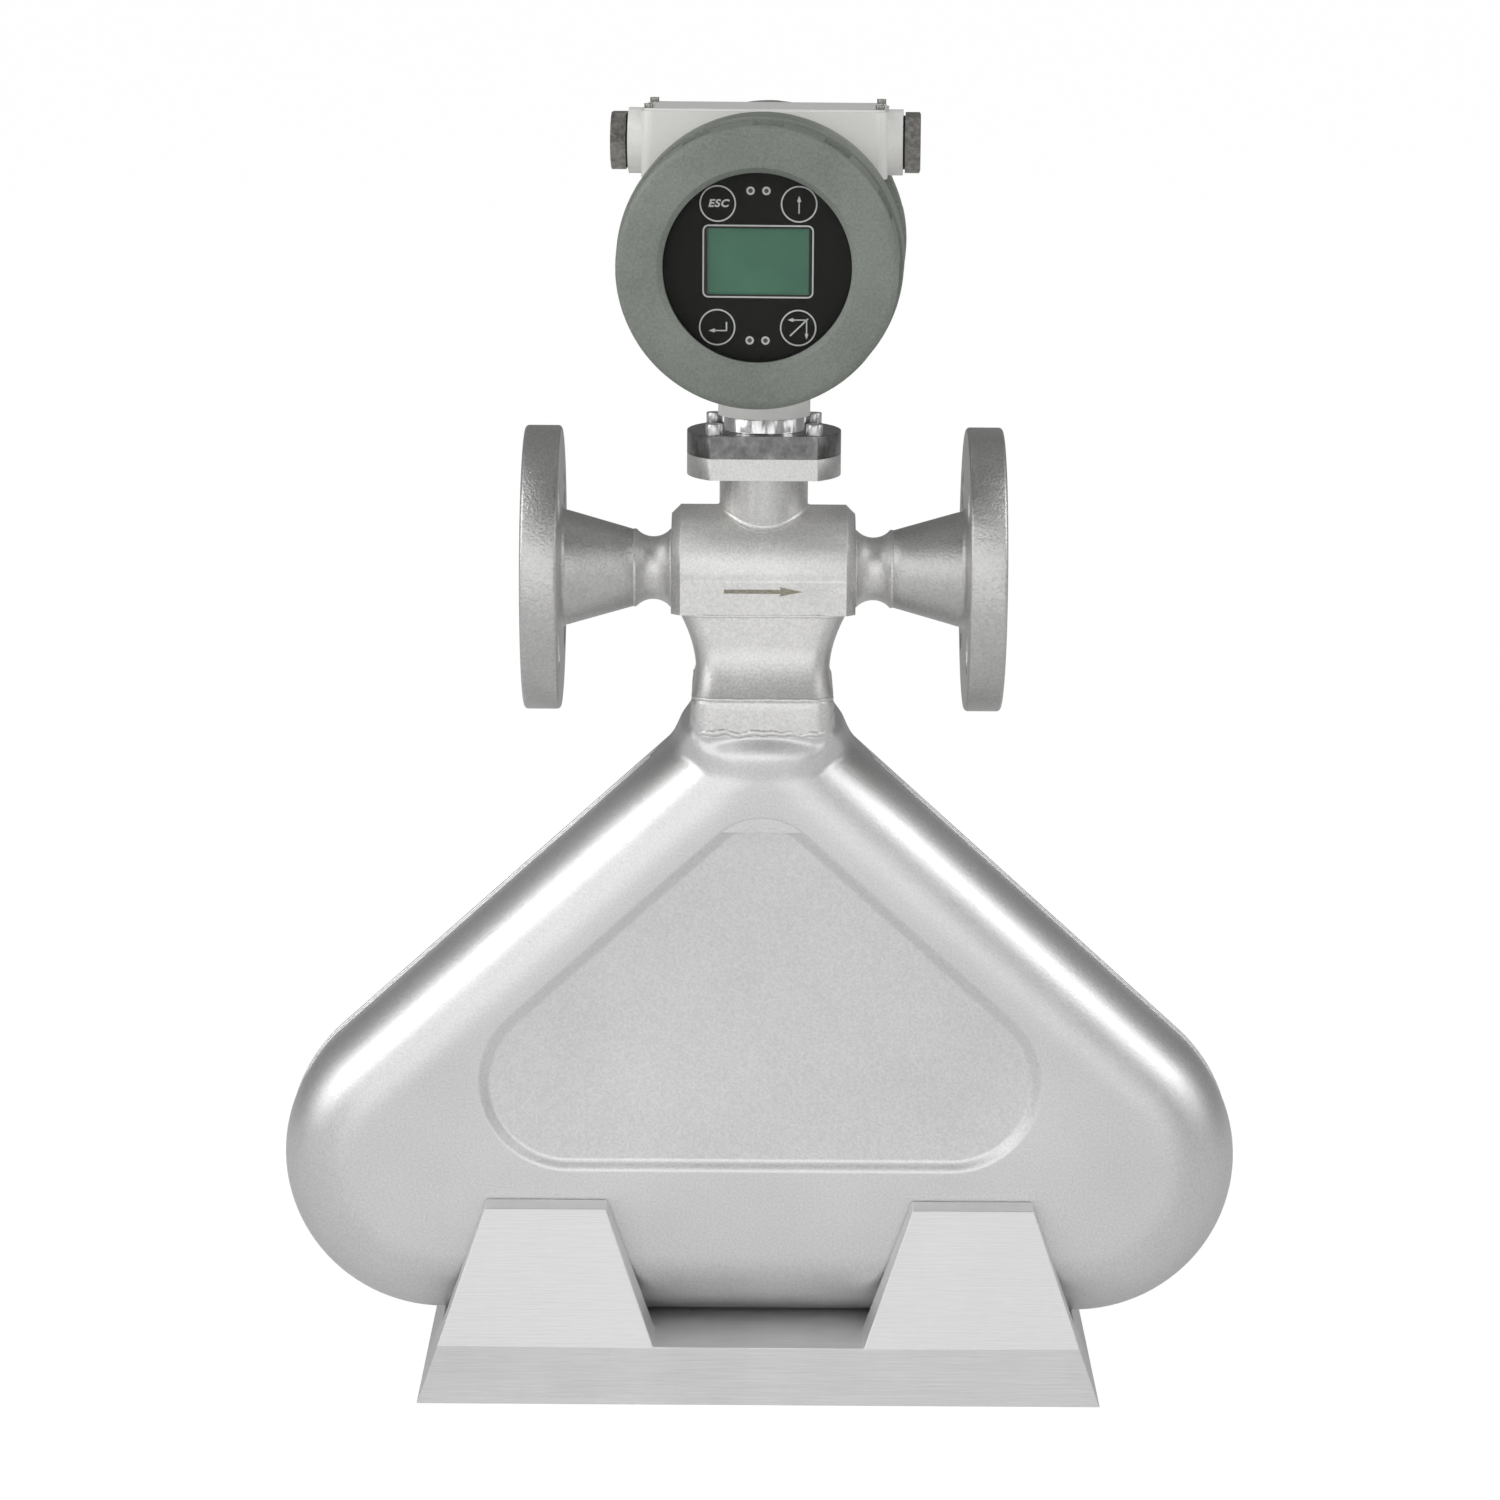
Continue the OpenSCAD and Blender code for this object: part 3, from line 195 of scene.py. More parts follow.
def machined_steel():
    """Dark machined plate with a mottled oxide film, below a polished spigot."""
    m = Mat("machined_steel", Metallic=1.0)
    cloud = m.grain(160, 5, roughness=0.7)
    lines = m.grain(900, 2, (1, 1, 0.05))
    spigot = m.height().band(0.4202, 0.4206)
    oxide = [(0.15, grey(0.12)), (0.275, grey(0.24)), (0.375, grey(0.4))]
    polished = [(0.6, grey(0.78)), (0.8, grey(0.86))]
    return m.use(
        Base_Color=m.colours((cloud + spigot) * 0.5, oxide + polished),
        Roughness=cloud * 0.2 + 0.24 - spigot * 0.1,
        Normal=m.bump(lines, 0.0001, 0.4),
    )


def bright_steel(name="bright_steel", level=0.74, rough=0.2):
    m = Mat(name, Metallic=1.0)
    fine = m.grain(700, 3)
    return m.use(
        Base_Color=m.colours(fine, [(0.3, grey(level * 0.86)), (0.7, grey(level))]),
        Roughness=fine * 0.12 + (rough - 0.06),
        Normal=m.bump(fine, 0.00006, 0.4),
    )


def powder_coat(name, colour, rough, grit, depth, speckle=0.06):
    """Textured paint: grit is the size of its grain in features per metre."""
    m = Mat(name, Specular_IOR_Level=0.45)
    fine = m.grain(grit, 3)
    broad = m.grain(30, 3)
    dark = tuple(c * (1 - speckle * 2) for c in colour)
    light = tuple(min(1.0, c * (1 + speckle)) for c in colour)
    return m.use(
        Base_Color=m.colours(fine * 0.6 + broad * 0.4, [(0.3, dark), (0.7, light)]),
        Roughness=fine * 0.16 + (rough - 0.08),
        Normal=m.bump(fine, depth, 0.7),
    )


def plastic(name, colour, rough, **fixed):
    m = Mat(name, **fixed)
    fine = m.grain(1200, 2)
    dark = tuple(c * 0.88 for c in colour)
    return m.use(
        Base_Color=m.colours(fine, [(0.3, dark), (0.7, colour)]),
        Roughness=fine * 0.1 + (rough - 0.05),
        Normal=m.bump(fine, 0.00003, 0.3),
    )


def plug_nickel():
    """Dark nickel plate on a rough casting, mottled at random."""
    m = Mat("plug_nickel", Metallic=1.0)
    fine = m.grain(500, 4)
    return m.use(
        Base_Color=m.colours(fine, [(0.25, grey(0.2, (1, 0.96, 0.9))), (0.75, grey(0.46, (1, 0.97, 0.92)))]),
        Roughness=fine * 0.2 + 0.28,
        Normal=m.bump(fine, 0.0002, 0.5),
    )


def crystal_window():
    """Liquid crystal glass: green-grey, with faint rows of segments."""
    m = Mat("crystal_window", Specular_IOR_Level=0.25)
    rows = m.grain(2400, 0, (1, 1, 1))
    cloud = m.grain(40, 2)
    return m.use(
        Base_Color=m.colours(
            cloud * 0.8 + rows * 0.2, [(0.25, (0.08, 0.21, 0.14)), (0.8, (0.125, 0.305, 0.2))]
        ),
        Roughness=rows * 0.06 + 0.26,
        Normal=m.bump(rows, 0.00002, 0.2),
    )


def clear_glass():
    m = Mat("clear_glass", Alpha=0.05, Specular_IOR_Level=0.2, Base_Color=(0.02, 0.03, 0.025, 1))
    smear = m.grain(60, 3)
    return m.use(Roughness=smear * 0.05 + 0.02)


def circuit_board():
    m = Mat("circuit_board")
    tracks = m.grain(260, 1, (1, 1, 1), 0.2)
    return m.use(
        Base_Color=m.colours(
            tracks, [(0.42, (0.012, 0.07, 0.03)), (0.5, (0.03, 0.16, 0.07)), (0.56, (0.012, 0.07, 0.03))]
        ),
        Roughness=tracks * 0.2 + 0.25,
    )


def etched_grey():
    """Tan-grey print worn by the blasted surface under it."""
    m = Mat("etched_grey", Metallic=0.35)
    worn = m.grain(900, 4)
    return m.use(
        Base_Color=m.colours(worn, [(0.3, (0.24, 0.22, 0.17)), (0.7, (0.42, 0.395, 0.33))]),
        Roughness=worn * 0.2 + 0.45,
    )


STEEL = blasted_steel("blasted_steel", 0.82, 0.48, 950, 0.00022)
FLANGE_STEEL = blasted_steel("flange_steel", 0.66, 0.44, 800, 0.0004)
WELD_STEEL = blasted_steel("weld_steel", 0.78, 0.5, 700, 0.0003)
SHEET = satin_sheet()
ALUMINIUM = brushed_aluminium()
PLATE = machined_steel()
BRIGHT = bright_steel("bright_steel", 0.82, 0.34)
TUBE = bright_steel("drawn_tube", 0.66, 0.26)
COVER = powder_coat("cover_paint", (0.25, 0.272, 0.244), 0.5, 950, 0.0003, 0.16)
HOUSING = powder_coat("housing_paint", (0.84, 0.84, 0.815), 0.34, 900, 0.00008, 0.02)
NICKEL = plug_nickel()
RUBBER = plastic("rubber", (0.02, 0.02, 0.021), 0.6)
PANEL = plastic("panel_film", (0.017, 0.0175, 0.015), 0.36, Specular_IOR_Level=0.12)
LEGEND = plastic("legend_print", (0.82, 0.83, 0.81), 0.45)
CRYSTAL = crystal_window()
GLASS = clear_glass()
LAMP = plastic("lamp_lens", (0.09, 0.09, 0.085), 0.25)
BOARD = circuit_board()
BRASS = bright_steel("brass", 0.5, 0.3)
BLACK_PLASTIC = plastic("black_plastic", (0.02, 0.02, 0.02), 0.5)
ETCHED = etched_grey()
COIL = plastic("enamelled_wire", (0.34, 0.12, 0.03), 0.35)
CERAMIC = plastic("ceramic", (0.62, 0.58, 0.5), 0.5)
SLEEVE = plastic("wire_sleeve", (0.03, 0.10, 0.30), 0.5)


# ------------------------------------------------------------------ mesh kit


def add_mesh(name, points, faces, material, body="meter", nodes=(), sharp=32, slot=None):
    """A piece from points in millimetres. It rides on body and stands for the given CAD nodes."""
    mesh = bpy.data.meshes.new(name)
    mesh.from_pydata([Vector(p) * MM for p in points], [], faces)
    tidy = bmesh.new()
    tidy.from_mesh(mesh)
    bmesh.ops.remove_doubles(tidy, verts=tidy.verts, dist=1e-7)
    bmesh.ops.recalc_face_normals(tidy, faces=tidy.faces)
    tidy.to_mesh(mesh)
    tidy.free()
    mesh.materials.append(material)
    mesh.shade_smooth()
    mesh.set_sharp_from_angle(angle=math.radians(sharp))
    piece = bpy.data.objects.new(name, mesh)
    bpy.context.collection.objects.link(piece)
    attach(piece, body)
    if nodes:
        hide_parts(*nodes)
    return piece


def rounded(points, radii, steps=4):
    """An open line of 2D points, with each inner corner rounded by its radius."""
    line = [Vector(points[0])]
    for i in range(1, len(points) - 1):
        here = Vector(points[i])
        before, after = Vector(points[i - 1]) - here, Vector(points[i + 1]) - here
        r = radii[i] if i < len(radii) else 0
        if r <= 0:
            line.append(here)
            continue
        half = before.angle(after) / 2
        cut = min(r / math.tan(half), before.length * 0.49, after.length * 0.49)
        a, b = here + before.normalized() * cut, here + after.normalized() * cut
        for k in range(steps + 1):
            t = k / steps
            line.append((1 - t) ** 2 * a + 2 * t * (1 - t) * here + t * t * b)
    line.append(Vector(points[-1]))
    return line


def skin(rings, closed_rings=True, caps=False, loop=False):
    """Faces between rings of equal length. Returns (points, faces)."""
    count = len(rings[0])
    points = [p for ring in rings for p in ring]
    faces = []
    last = len(rings) if loop else len(rings) - 1
    around = count if closed_rings else count - 1
    for k in range(last):
        low, high = k * count, (k + 1) % len(rings) * count
        for i in range(around):
            j = (i + 1) % count
            faces.append((low + i, low + j, high + j, high + i))
    if caps:
        faces.append(tuple(reversed(range(count))))
        faces.append(tuple(range(len(points) - count, len(points))))
    return points, faces


def weld_tree():
    """Geometry Nodes: a bead along each closed line, rippled like stacked coins."""
    nodes = bpy.data.node_groups.new("weld_bead", "GeometryNodeTree")
    nodes.interface.new_socket("Path", in_out="INPUT", socket_type="NodeSocketGeometry")
    for name in ("Radius", "Wobble", "Ripple", "Coin Height", "Seed"):
        nodes.interface.new_socket(name, in_out="INPUT", socket_type="NodeSocketFloat")
    nodes.interface.new_socket("Sides", in_out="INPUT", socket_type="NodeSocketInt")
    nodes.interface.new_socket("Material", in_out="INPUT", socket_type="NodeSocketMaterial")
    nodes.interface.new_socket("Bead", in_out="OUTPUT", socket_type="NodeSocketGeometry")
    tree = Tree(nodes)
    given = nodes.nodes.new("NodeGroupInput")
    radius, wobble, ripple, coin, seed, sides, paint, path = (
        Sock(tree, given.outputs[name])
        for name in ("Radius", "Wobble", "Ripple", "Coin Height", "Seed", "Sides", "Material", "Path")
    )
    line = tree.node("GeometryNodeMeshToCurve", Mesh=path)
    line = tree.node("GeometryNodeResampleCurve", 0, {"mode": "LENGTH"}, Curve=line, Length=ripple * 0.25)
    place = tree.node("GeometryNodeInputPosition")
    four = {"noise_dimensions": "4D"}
    cloud = tree.node("ShaderNodeTexNoise", "Fac", four, Vector=place, W=seed, Scale=110.0)
    along = tree.node("GeometryNodeSplineParameter", "Length")
    wave = tree.math("ABSOLUTE", tree.math("SINE", along / ripple * math.pi))
    swell = radius * (1 + (cloud - 0.5) * 2 * wobble) * (1 + wave * coin)
    ring = tree.node("GeometryNodeCurvePrimitiveCircle", "Curve", Resolution=sides, Radius=1.0)
    solid = tree.node("GeometryNodeCurveToMesh", Curve=line, Profile_Curve=ring, Scale=swell)
    solid = tree.node("GeometryNodeRealizeInstances", Geometry=solid)
    solid = tree.node("GeometryNodeSetMaterial", Geometry=solid, Material=paint)
    tree.put(nodes.nodes.new("NodeGroupOutput").inputs["Bead"], solid)
    return nodes


WELD_TREE = weld_tree()
WELD_INPUTS = {
    item.name: item.identifier for item in WELD_TREE.interface.items_tree if item.in_out == "INPUT"
}


def bead(path, radius, seed, wobble=0.25, ripple=2.2, flat=0.8):
    """A bead along a closed path of (point, outward) pairs, sunk so that flat of its radius stands proud."""
    line = [point - outward * radius * (1 - flat) for point, outward in path]
    sizes = {"Radius": radius * MM, "Wobble": wobble, "Ripple": ripple * MM, "Coin Height": 0.09}
    return line, {**sizes, "Seed": float(seed), "Sides": 10}


def add_welds(name, beads, material, slot):
    """One plain mesh of several beads on the meter's body."""
    whole = bmesh.new()
    for line, sizes in beads:
        mesh = bpy.data.meshes.new(name)
        mesh.from_pydata([p * MM for p in line], [(i, (i + 1) % len(line)) for i in range(len(line))], [])
        guide = bpy.data.objects.new(name, mesh)
        bpy.context.collection.objects.link(guide)
        grow = guide.modifiers.new("bead", "NODES")
        grow.node_group = WELD_TREE
        for key, value in {**sizes, "Material": material}.items():
            grow[WELD_INPUTS[key]] = value
        grown = bpy.data.meshes.new_from_object(guide.evaluated_get(bpy.context.evaluated_depsgraph_get()))
        whole.from_mesh(grown)
        guide.modifiers.clear()
        bpy.data.objects.remove(guide)
        bpy.data.meshes.remove(grown)
    whole.verts.index_update()
    points = [v.co / MM for v in whole.verts]
    faces = [tuple(v.index for v in face.verts) for face in whole.faces]
    whole.free()
    return add_mesh(name, points, faces, material, sharp=60, slot=slot)


def join_parts(parts):
    """Several (points, faces) as one."""
    points, faces = [], []
    for more, quads in parts:
        base = len(points)
        points += more
        faces += [tuple(base + i for i in q) for q in quads]
    return points, faces


def dress(node, material, bevel=0.0, sharp=30):
    """Gives a CAD node its material, and breaks its sharp edges by bevel millimetres."""
    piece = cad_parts[node]
    piece.data.materials.clear()
    piece.data.materials.append(material)
    if bevel:
        weld = piece.modifiers.new("join", "WELD")
        weld.merge_threshold = 2e-6
        edge = piece.modifiers.new("edge", "BEVEL")
        edge.width = bevel * MM
        edge.segments = 2
        edge.limit_method = "ANGLE"
        edge.angle_limit = math.radians(sharp)
        edge.harden_normals = True
    return piece


# ------------------------------------------------------------------ sensor case

SLOPE = math.radians(42.2)
SIDE = Vector((math.sin(SLOPE), math.cos(SLOPE)))
CASE_Z, CASE_R, CASE_HALF, EDGE_R = 26.4, 70.3, 43.0, 33.0
CORNER = Vector((140.7, CASE_Z + CASE_R))
REACH = SIDE.dot(CORNER) + CASE_R
TOP_R = EDGE_R + 2


def delta_path(reach, base, r, top_r, arc=40, straight=24):
    """Points and outward normals round a rounded delta, anticlockwise from the middle of its base."""
    corner = Vector(((reach - r - SIDE.y * (base + r)) / SIDE.x, base + r))
    top = Vector((0, (reach - top_r) / SIDE.y))
    turn = math.pi / 2 - SLOPE
    path = []

    def line(start, end, normal, count):
        for k in range(count):
            path.append((start.lerp(end, k / count), normal))

    def bend(centre, radius, first, last, count):
        for k in range(count):
            a = first + (last - first) * k / count
            n = Vector((math.cos(a), math.sin(a)))
            path.append((centre + n * radius, n))

    left = Vector((-corner.x, corner.y))
    side_left = Vector((-SIDE.x, SIDE.y))
    down = Vector((0, -1))
    line(Vector((0, base)), Vector((corner.x, base)), down, straight)
    bend(corner, r, -math.pi / 2, turn, arc)
    line(corner + SIDE * r, top + SIDE * top_r, SIDE, straight)
    bend(top, top_r, turn, math.pi - turn, arc // 2 * 2)
    line(top + side_left * top_r, left + side_left * r, side_left, straight)
    bend(left, r, math.pi - turn, 1.5 * math.pi, arc)
    line(Vector((-corner.x, base)), Vector((0, base)), down, straight)
    return path


def shell(side):
    """One pressed shell; side is -1 for the front and 1 for the rear."""
    outline = delta_path(REACH, CASE_Z, CASE_R, TOP_R)
    panel = delta_path(REACH - 40.4, CASE_Z + 72.5, 38.2, 27.7)

    def ring(path, out, height):
        return [Vector((p.x + n.x * out, side * height, p.y + n.y * out)) for p, n in path]

    rings = [ring(outline, -2.2, 9.2), ring(outline, -0.7, 9.2), ring(outline, 0, 9.7)]
    flat = CASE_HALF - EDGE_R
    for k in range(25):
        a = math.pi / 2 * k / 24
        rings.append(ring(outline, EDGE_R * (math.cos(a) - 1), flat + EDGE_R * math.sin(a)))
    for k in range(13):
        t = k / 12
        drop = 2.5 * (3 * t * t - 2 * t * t * t)
        rings.append(ring(panel, 2.0 - 6.0 * t, CASE_HALF - drop))
    points, faces = skin(rings)
    base = len(points) - len(panel)
    faces.append(tuple(range(base, base + len(panel))))
    return points, faces


add_mesh("front_shell_pressing", *shell(-1), SHEET, nodes=("front_case_shell",), sharp=50, slot="case_steel")
add_mesh("rear_shell_pressing", *shell(1), SHEET, nodes=("rear_case_shell",), sharp=50, slot="case_steel")


def rim_band():
    """The band between the shells."""
    path = delta_path(REACH, CASE_Z, CASE_R, TOP_R)
    rings = []
    for y in (-9.4, -6, -3, 0, 3, 6, 9.4):
        rings.append([Vector((p.x - n.x, y, p.y - n.y)) for p, n in path])
    inner = [[Vector((p.x - n.x * 3, y, p.y - n.y * 3)) for p, n in path] for y in (9.4, -9.4)]
    return skin(rings + inner, loop=True)


def seam(side):
    """Weld seam between the band and one shell."""
    path = []
    for p, n in delta_path(REACH, CASE_Z, CASE_R, TOP_R, arc=150, straight=170):
        path.append((Vector((p.x - n.x * 0.9, side * 9.0, p.y - n.y * 0.9)), Vector((n.x, 0, n.y))))
    return bead(path, 0.8, 3 + side, ripple=4.5, flat=0.6)


add_mesh("rim_band_sheet", *rim_band(), SHEET, nodes=("case_rim_band",), sharp=50, slot="case_steel")
add_welds("rim_seams", [seam(-1), seam(1)], WELD_STEEL, "case_steel")


# ------------------------------------------------------------------ collar and neck


def rounded_box_ring(half_x, half_y, r, z, steps=10):
    """A level ring round a box with rounded corners, with points along its straights too."""
    ring = []
    for q, (sx, sy) in enumerate(((1, 1), (-1, 1), (-1, -1), (1, -1))):
        for k in range(steps + 1):
            a = math.pi / 2 * (q + k / steps)
            ring.append(Vector((sx * (half_x - r) + r * math.cos(a), sy * (half_y - r) + r * math.sin(a), z)))
        start = ring[-1]
        next_x, next_y = ((-1, 1), (-1, -1), (1, -1), (1, 1))[q]
        a = math.pi / 2 * (q + 1)
        end = Vector((next_x * (half_x - r) + r * math.cos(a), next_y * (half_y - r) + r * math.sin(a), z))
        for k in range(1, 12):
            ring.append(start.lerp(end, k / 12))
    return ring


COLLAR_TOP, BLOCK_FOOT = 307.5, 342.6


def collar():
    """Collar between case and neck, with a slightly uneven wall and a worn top edge."""
    rings = []
    levels = ((291, 0), (293.5, 0.05), (298, 0.05), (303, 0), (305.6, -0.1), (306.7, -0.45), (307.5, -1.2))
    for z, out in levels:
        ring = rounded_box_ring(31 + out, 39.5 + out, 9 + out, z)
        dents = [(noise.noise(p * 0.05), noise.noise(p * 0.04 + Vector((9, 9, 9)))) for p in ring]
        rings.append([p + Vector((0.2 * x, 0.2 * y, 0)) for p, (x, y) in zip(ring, dents)])
    return skin(rings, caps=True)


def neck_ring(t, out=0.0):
    half_x = (58 + (72.6 - 58) * (abs(t - 0.3) / 0.7) ** 1.8) / 2
    half_y = (56 + (76 - 56) * max(0.0, 1 - t / 0.62) ** 2) / 2
    z = COLLAR_TOP + t * (BLOCK_FOOT - COLLAR_TOP)
    return rounded_box_ring(half_x + out, half_y + out, 9 + out, z)


def neck():
    return skin([neck_ring(t / 24) for t in range(25)], caps=True)


def densify(ring, gap):
    """More points along a closed ring, no further apart than gap."""
    out = []
    for i, p in enumerate(ring):
        q = ring[(i + 1) % len(ring)]
        count = max(1, math.ceil((q - p).length / gap))
        out += [p.lerp(q, k / count) for k in range(count)]
    return out


add_mesh("collar_sleeve", *collar(), STEEL, nodes=("neck_collar",), sharp=50, slot="stainless")
add_mesh("neck_loft", *neck(), STEEL, nodes=("sensor_neck",), sharp=50, slot="stainless")


def case_inset(x, z):
    """Distance of a point of the case's face from the case's outline."""
    top = (REACH - TOP_R) / SIDE.y
    if z > top and abs(x) * SIDE.y < (z - top) * SIDE.x:
        return TOP_R - math.hypot(x, z - top)
    return REACH - SIDE.x * abs(x) - SIDE.y * z


SKIRT_Z = 293.0


def outside_case(p):
    """Signed distance from the case, above zero outside."""
    beyond = EDGE_R - case_inset(p.x, p.z)
    deep = abs(p.y) - (CASE_HALF - EDGE_R)
    return min(max(beyond, deep), 0.0) + math.hypot(max(beyond, 0.0), max(deep, 0.0)) - EDGE_R


def ease(t):
    t = min(1.0, max(0.0, t))
    return t * t * (3 - 2 * t)


def outside_collar(p):
    """Signed distance from the collar's column, which rounds off and draws in below the weld."""
    drop = max(0.0, SKIRT_Z - p.z)
    r = 9 + 21 * ease(drop / 28)
    over_x, over_y = abs(p.x) - (31.05 - r), abs(p.y) - (39.55 - 0.3 * drop - r)
    return min(max(over_x, over_y), 0.0) + math.hypot(max(over_x, 0.0), max(over_y, 0.0)) - r


def outside_joint(p, top):
    """Signed distance from case and collar, with a hollow fillet that starts at the height top."""
    a, b = outside_case(p), outside_collar(p)
    blend = 0.01 + 16.0 * ease((top + 1 - p.z) / 12) * (1 - ease((top - p.z - 10) / 25))
    h = max(blend - abs(a - b), 0.0) / blend
    return min(a, b) - h * h * blend / 4


def skirt():
    """The shoulders' drawn-up edge, which blends the case into the collar."""
    rings = [[] for _ in range(35)]
    for p in densify(rounded_box_ring(31.05, 39.55, 9, 0), 1.3):
        core = Vector((max(-22.05, min(22.05, p.x)), max(-30.55, min(30.55, p.y)), 0))
        out = (p - core).normalized()
        top = SKIRT_Z + 9 * out.x**2
        ray = (out + Vector((0, 0, 1))).normalized()
        for k, ring in enumerate(rings):
            start = p - out * 16 + Vector((0, 0, top - 16.4 - 1.35 * k))
            near, far = 0.0, 60.0
            while far - near > 0.02:
                middle = (near + far) / 2
                if outside_joint(start + ray * middle, top) < 0:
                    near = middle
                else:
                    far = middle
            ring.append(start + ray * (near + 0.08 - 0.4 * max(0.0, (k - 20) / 14)))
    return skin(rings)


def saddle_weld():
    """Bead where the collar stands on the case: rough at front and rear, dressed flush at the sides."""
    path = []
    for p in densify(rounded_box_ring(31, 39.5, 9, 0), 0.8):
        core = Vector((max(-22, min(22, p.x)), max(-30.5, min(30.5, p.y)), 0))
        out = (p - core).normalized()
        lift = 1.5 * noise.noise(Vector((p.x * 0.15, p.y * 0.15, 4.0)))
        point = p - out * 1.6 * out.x**2 + Vector((0, 0, SKIRT_Z + lift))
        path.append((point, (out + Vector((0, 0, 0.2))).normalized()))
    return bead(path, 1.2, 11, 0.8, 2.9, 0.6)


def level_weld(ring, z, radius, seed):
    line = densify(ring, 0.9)
    path = []
    for p in line:
        out = Vector((p.x / 31, p.y / 39.5, 0)).normalized()
        path.append((Vector((p.x, p.y, z + 0.35 * noise.noise(Vector((p.x, p.y, seed)) * 0.15))), out))
    return bead(path, radius, seed, 0.3, 2.4, 0.6)


welds = [
    saddle_weld(),
    level_weld(rounded_box_ring(30.2, 38.8, 8.5, 0), 307.5, 0.8, 21),
    level_weld(rounded_box_ring(36.0, 27.7, 9, 0), BLOCK_FOOT - 0.3, 0.9, 31),
]
add_mesh("case_skirt", *skirt(), SHEET, sharp=60, slot="case_steel")
add_welds("neck_welds", welds, STEEL, "stainless")


# ------------------------------------------------------------------ pipe run

PIPE_Z = 359.0


def pipe_weld(x, radius, size, seed):
    path = []
    for i in range(170):
        a = math.tau * i / 170
        out = Vector((0, math.cos(a), math.sin(a)))
        path.append((Vector((x, 0, PIPE_Z)) + out * radius, out))
    return bead(path, size, seed, 0.3, 1.9, 0.7)


pipe_welds = []
for side in (-1, 1):
    pipe_welds.append(pipe_weld(side * 56.0, 16.2, 1.2, 40 + side))
    pipe_welds.append(pipe_weld(side * 40.3, 16.4, 0.8, 44 + side))
add_welds("pipe_welds", pipe_welds, WELD_STEEL, "stainless")


def stem_fillet(r=19.2, reach=1.6):
    """Dressed weld that runs from the stem's wall out onto the manifold's round top."""

    def on_manifold(x, y):
        return Vector((x, y, PIPE_Z + math.sqrt(28.0**2 - y * y)))

    rings = [[] for _ in range(9)]
    for i in range(190):
        a = math.tau * i / 190
        c, d = math.cos(a), math.sin(a)
        size = reach * (1 + 0.15 * noise.noise(Vector((c * 4, d * 4, 3.3))))
        root = on_manifold(r * c, r * d)
        foot = on_manifold((r + size) * c, (r + size) * d)
        head = root + Vector((0, 0, size))
        for k, ring in enumerate(rings):
            t = k / 8
            ring.append(head * (1 - t) ** 2 + root * 2 * t * (1 - t) + foot * t * t)
    rings.insert(0, [p - Vector((p.x, p.y, 0)) * 0.02 for p in rings[0]])
    rings.append([p - Vector((0, 0, 0.4)) for p in rings[-1]])
    return skin(rings)


add_mesh("stem_fillet", *stem_fillet(), STEEL, sharp=60, slot="stainless")


def flow_arrow():
    """Printed arrow on the front of the manifold."""
    outline = [(-17, 0.9), (7.6, 0.9), (7.0, 2.1), (17, 0), (7.0, -2.1), (7.6, -0.9), (-17, -0.9)]
    front = [Vector((x, -28.06, 353.2 + z)) for x, z in outline]
    back = [Vector((x, -27.9, 353.2 + z)) for x, z in outline]
    return skin([back, front], caps=True)


add_mesh("flow_arrow", *flow_arrow(), ETCHED, sharp=30, slot="stainless")

dress("flow_manifold", STEEL, 0.7)
dress("inlet_flange", FLANGE_STEEL, 0.5)
dress("outlet_flange", FLANGE_STEEL, 0.5)
dress("stem_flange", STEEL, 0.5)
dress("adapter_plate", PLATE, 0.4)
dress("adapter_screws", BRIGHT, 0.2)
dress("stand", ALUMINIUM, 0.6)


# ------------------------------------------------------------------ transmitter

HEAD_Z = 499.0
HEAD = Matrix.Translation((0, 0, HEAD_Z)) @ Matrix.Rotation(math.radians(-2.3), 4, "Z")
FORWARD = HEAD @ Matrix.Rotation(math.radians(90), 4, "X")  # local Z runs to the front
BACKWARD = HEAD @ Matrix.Rotation(math.radians(-90), 4, "X")
BAND_R, RIM_R, COVER_BASE = 60.5, 59.0, 30.3
COVER_FACE = COVER_BASE + 61.7


def cover_mesh(profile, place, notch, steps=720):
    """A cover turned from its profile; notch gives (first angle, start, end, depth) of its grip notches."""
    first, start, end, depth = notch
    half = 6.2
    rings = []
    for i in range(steps):
        a = 360.0 * i / steps
        off = abs((a - first + 15) % 30 - 15)
        inside = min(1.0, max(0.0, (half - off) / 0.9))
        inside = inside * inside * (3 - 2 * inside)
        ring = []
        for r, h in profile:
            over = min(1.0, max(0.0, (h - start) / 1.2 + 0.5)) * min(1.0, max(0.0, (end - h) / 1.2 + 0.5))
            cut = depth * inside * over if r > 54 else 0.0
            turn = math.radians(a)
            ring.append(place @ Vector(((r - cut) * math.cos(turn), (r - cut) * math.sin(turn), h)))
        rings.append(ring)
    return skin(rings, closed_rings=True, loop=True)


def dense(points, gap=1.1):
    """Closed 2D profile with extra points on its long stretches."""
    out = []
    for i, p in enumerate(points):
        q = points[(i + 1) % len(points)]
        count = max(1, math.ceil((q - p).length / gap)) if p.x > 54 and q.x > 54 else 1
        out += [p.lerp(q, k / count) for k in range(count)]
    return out


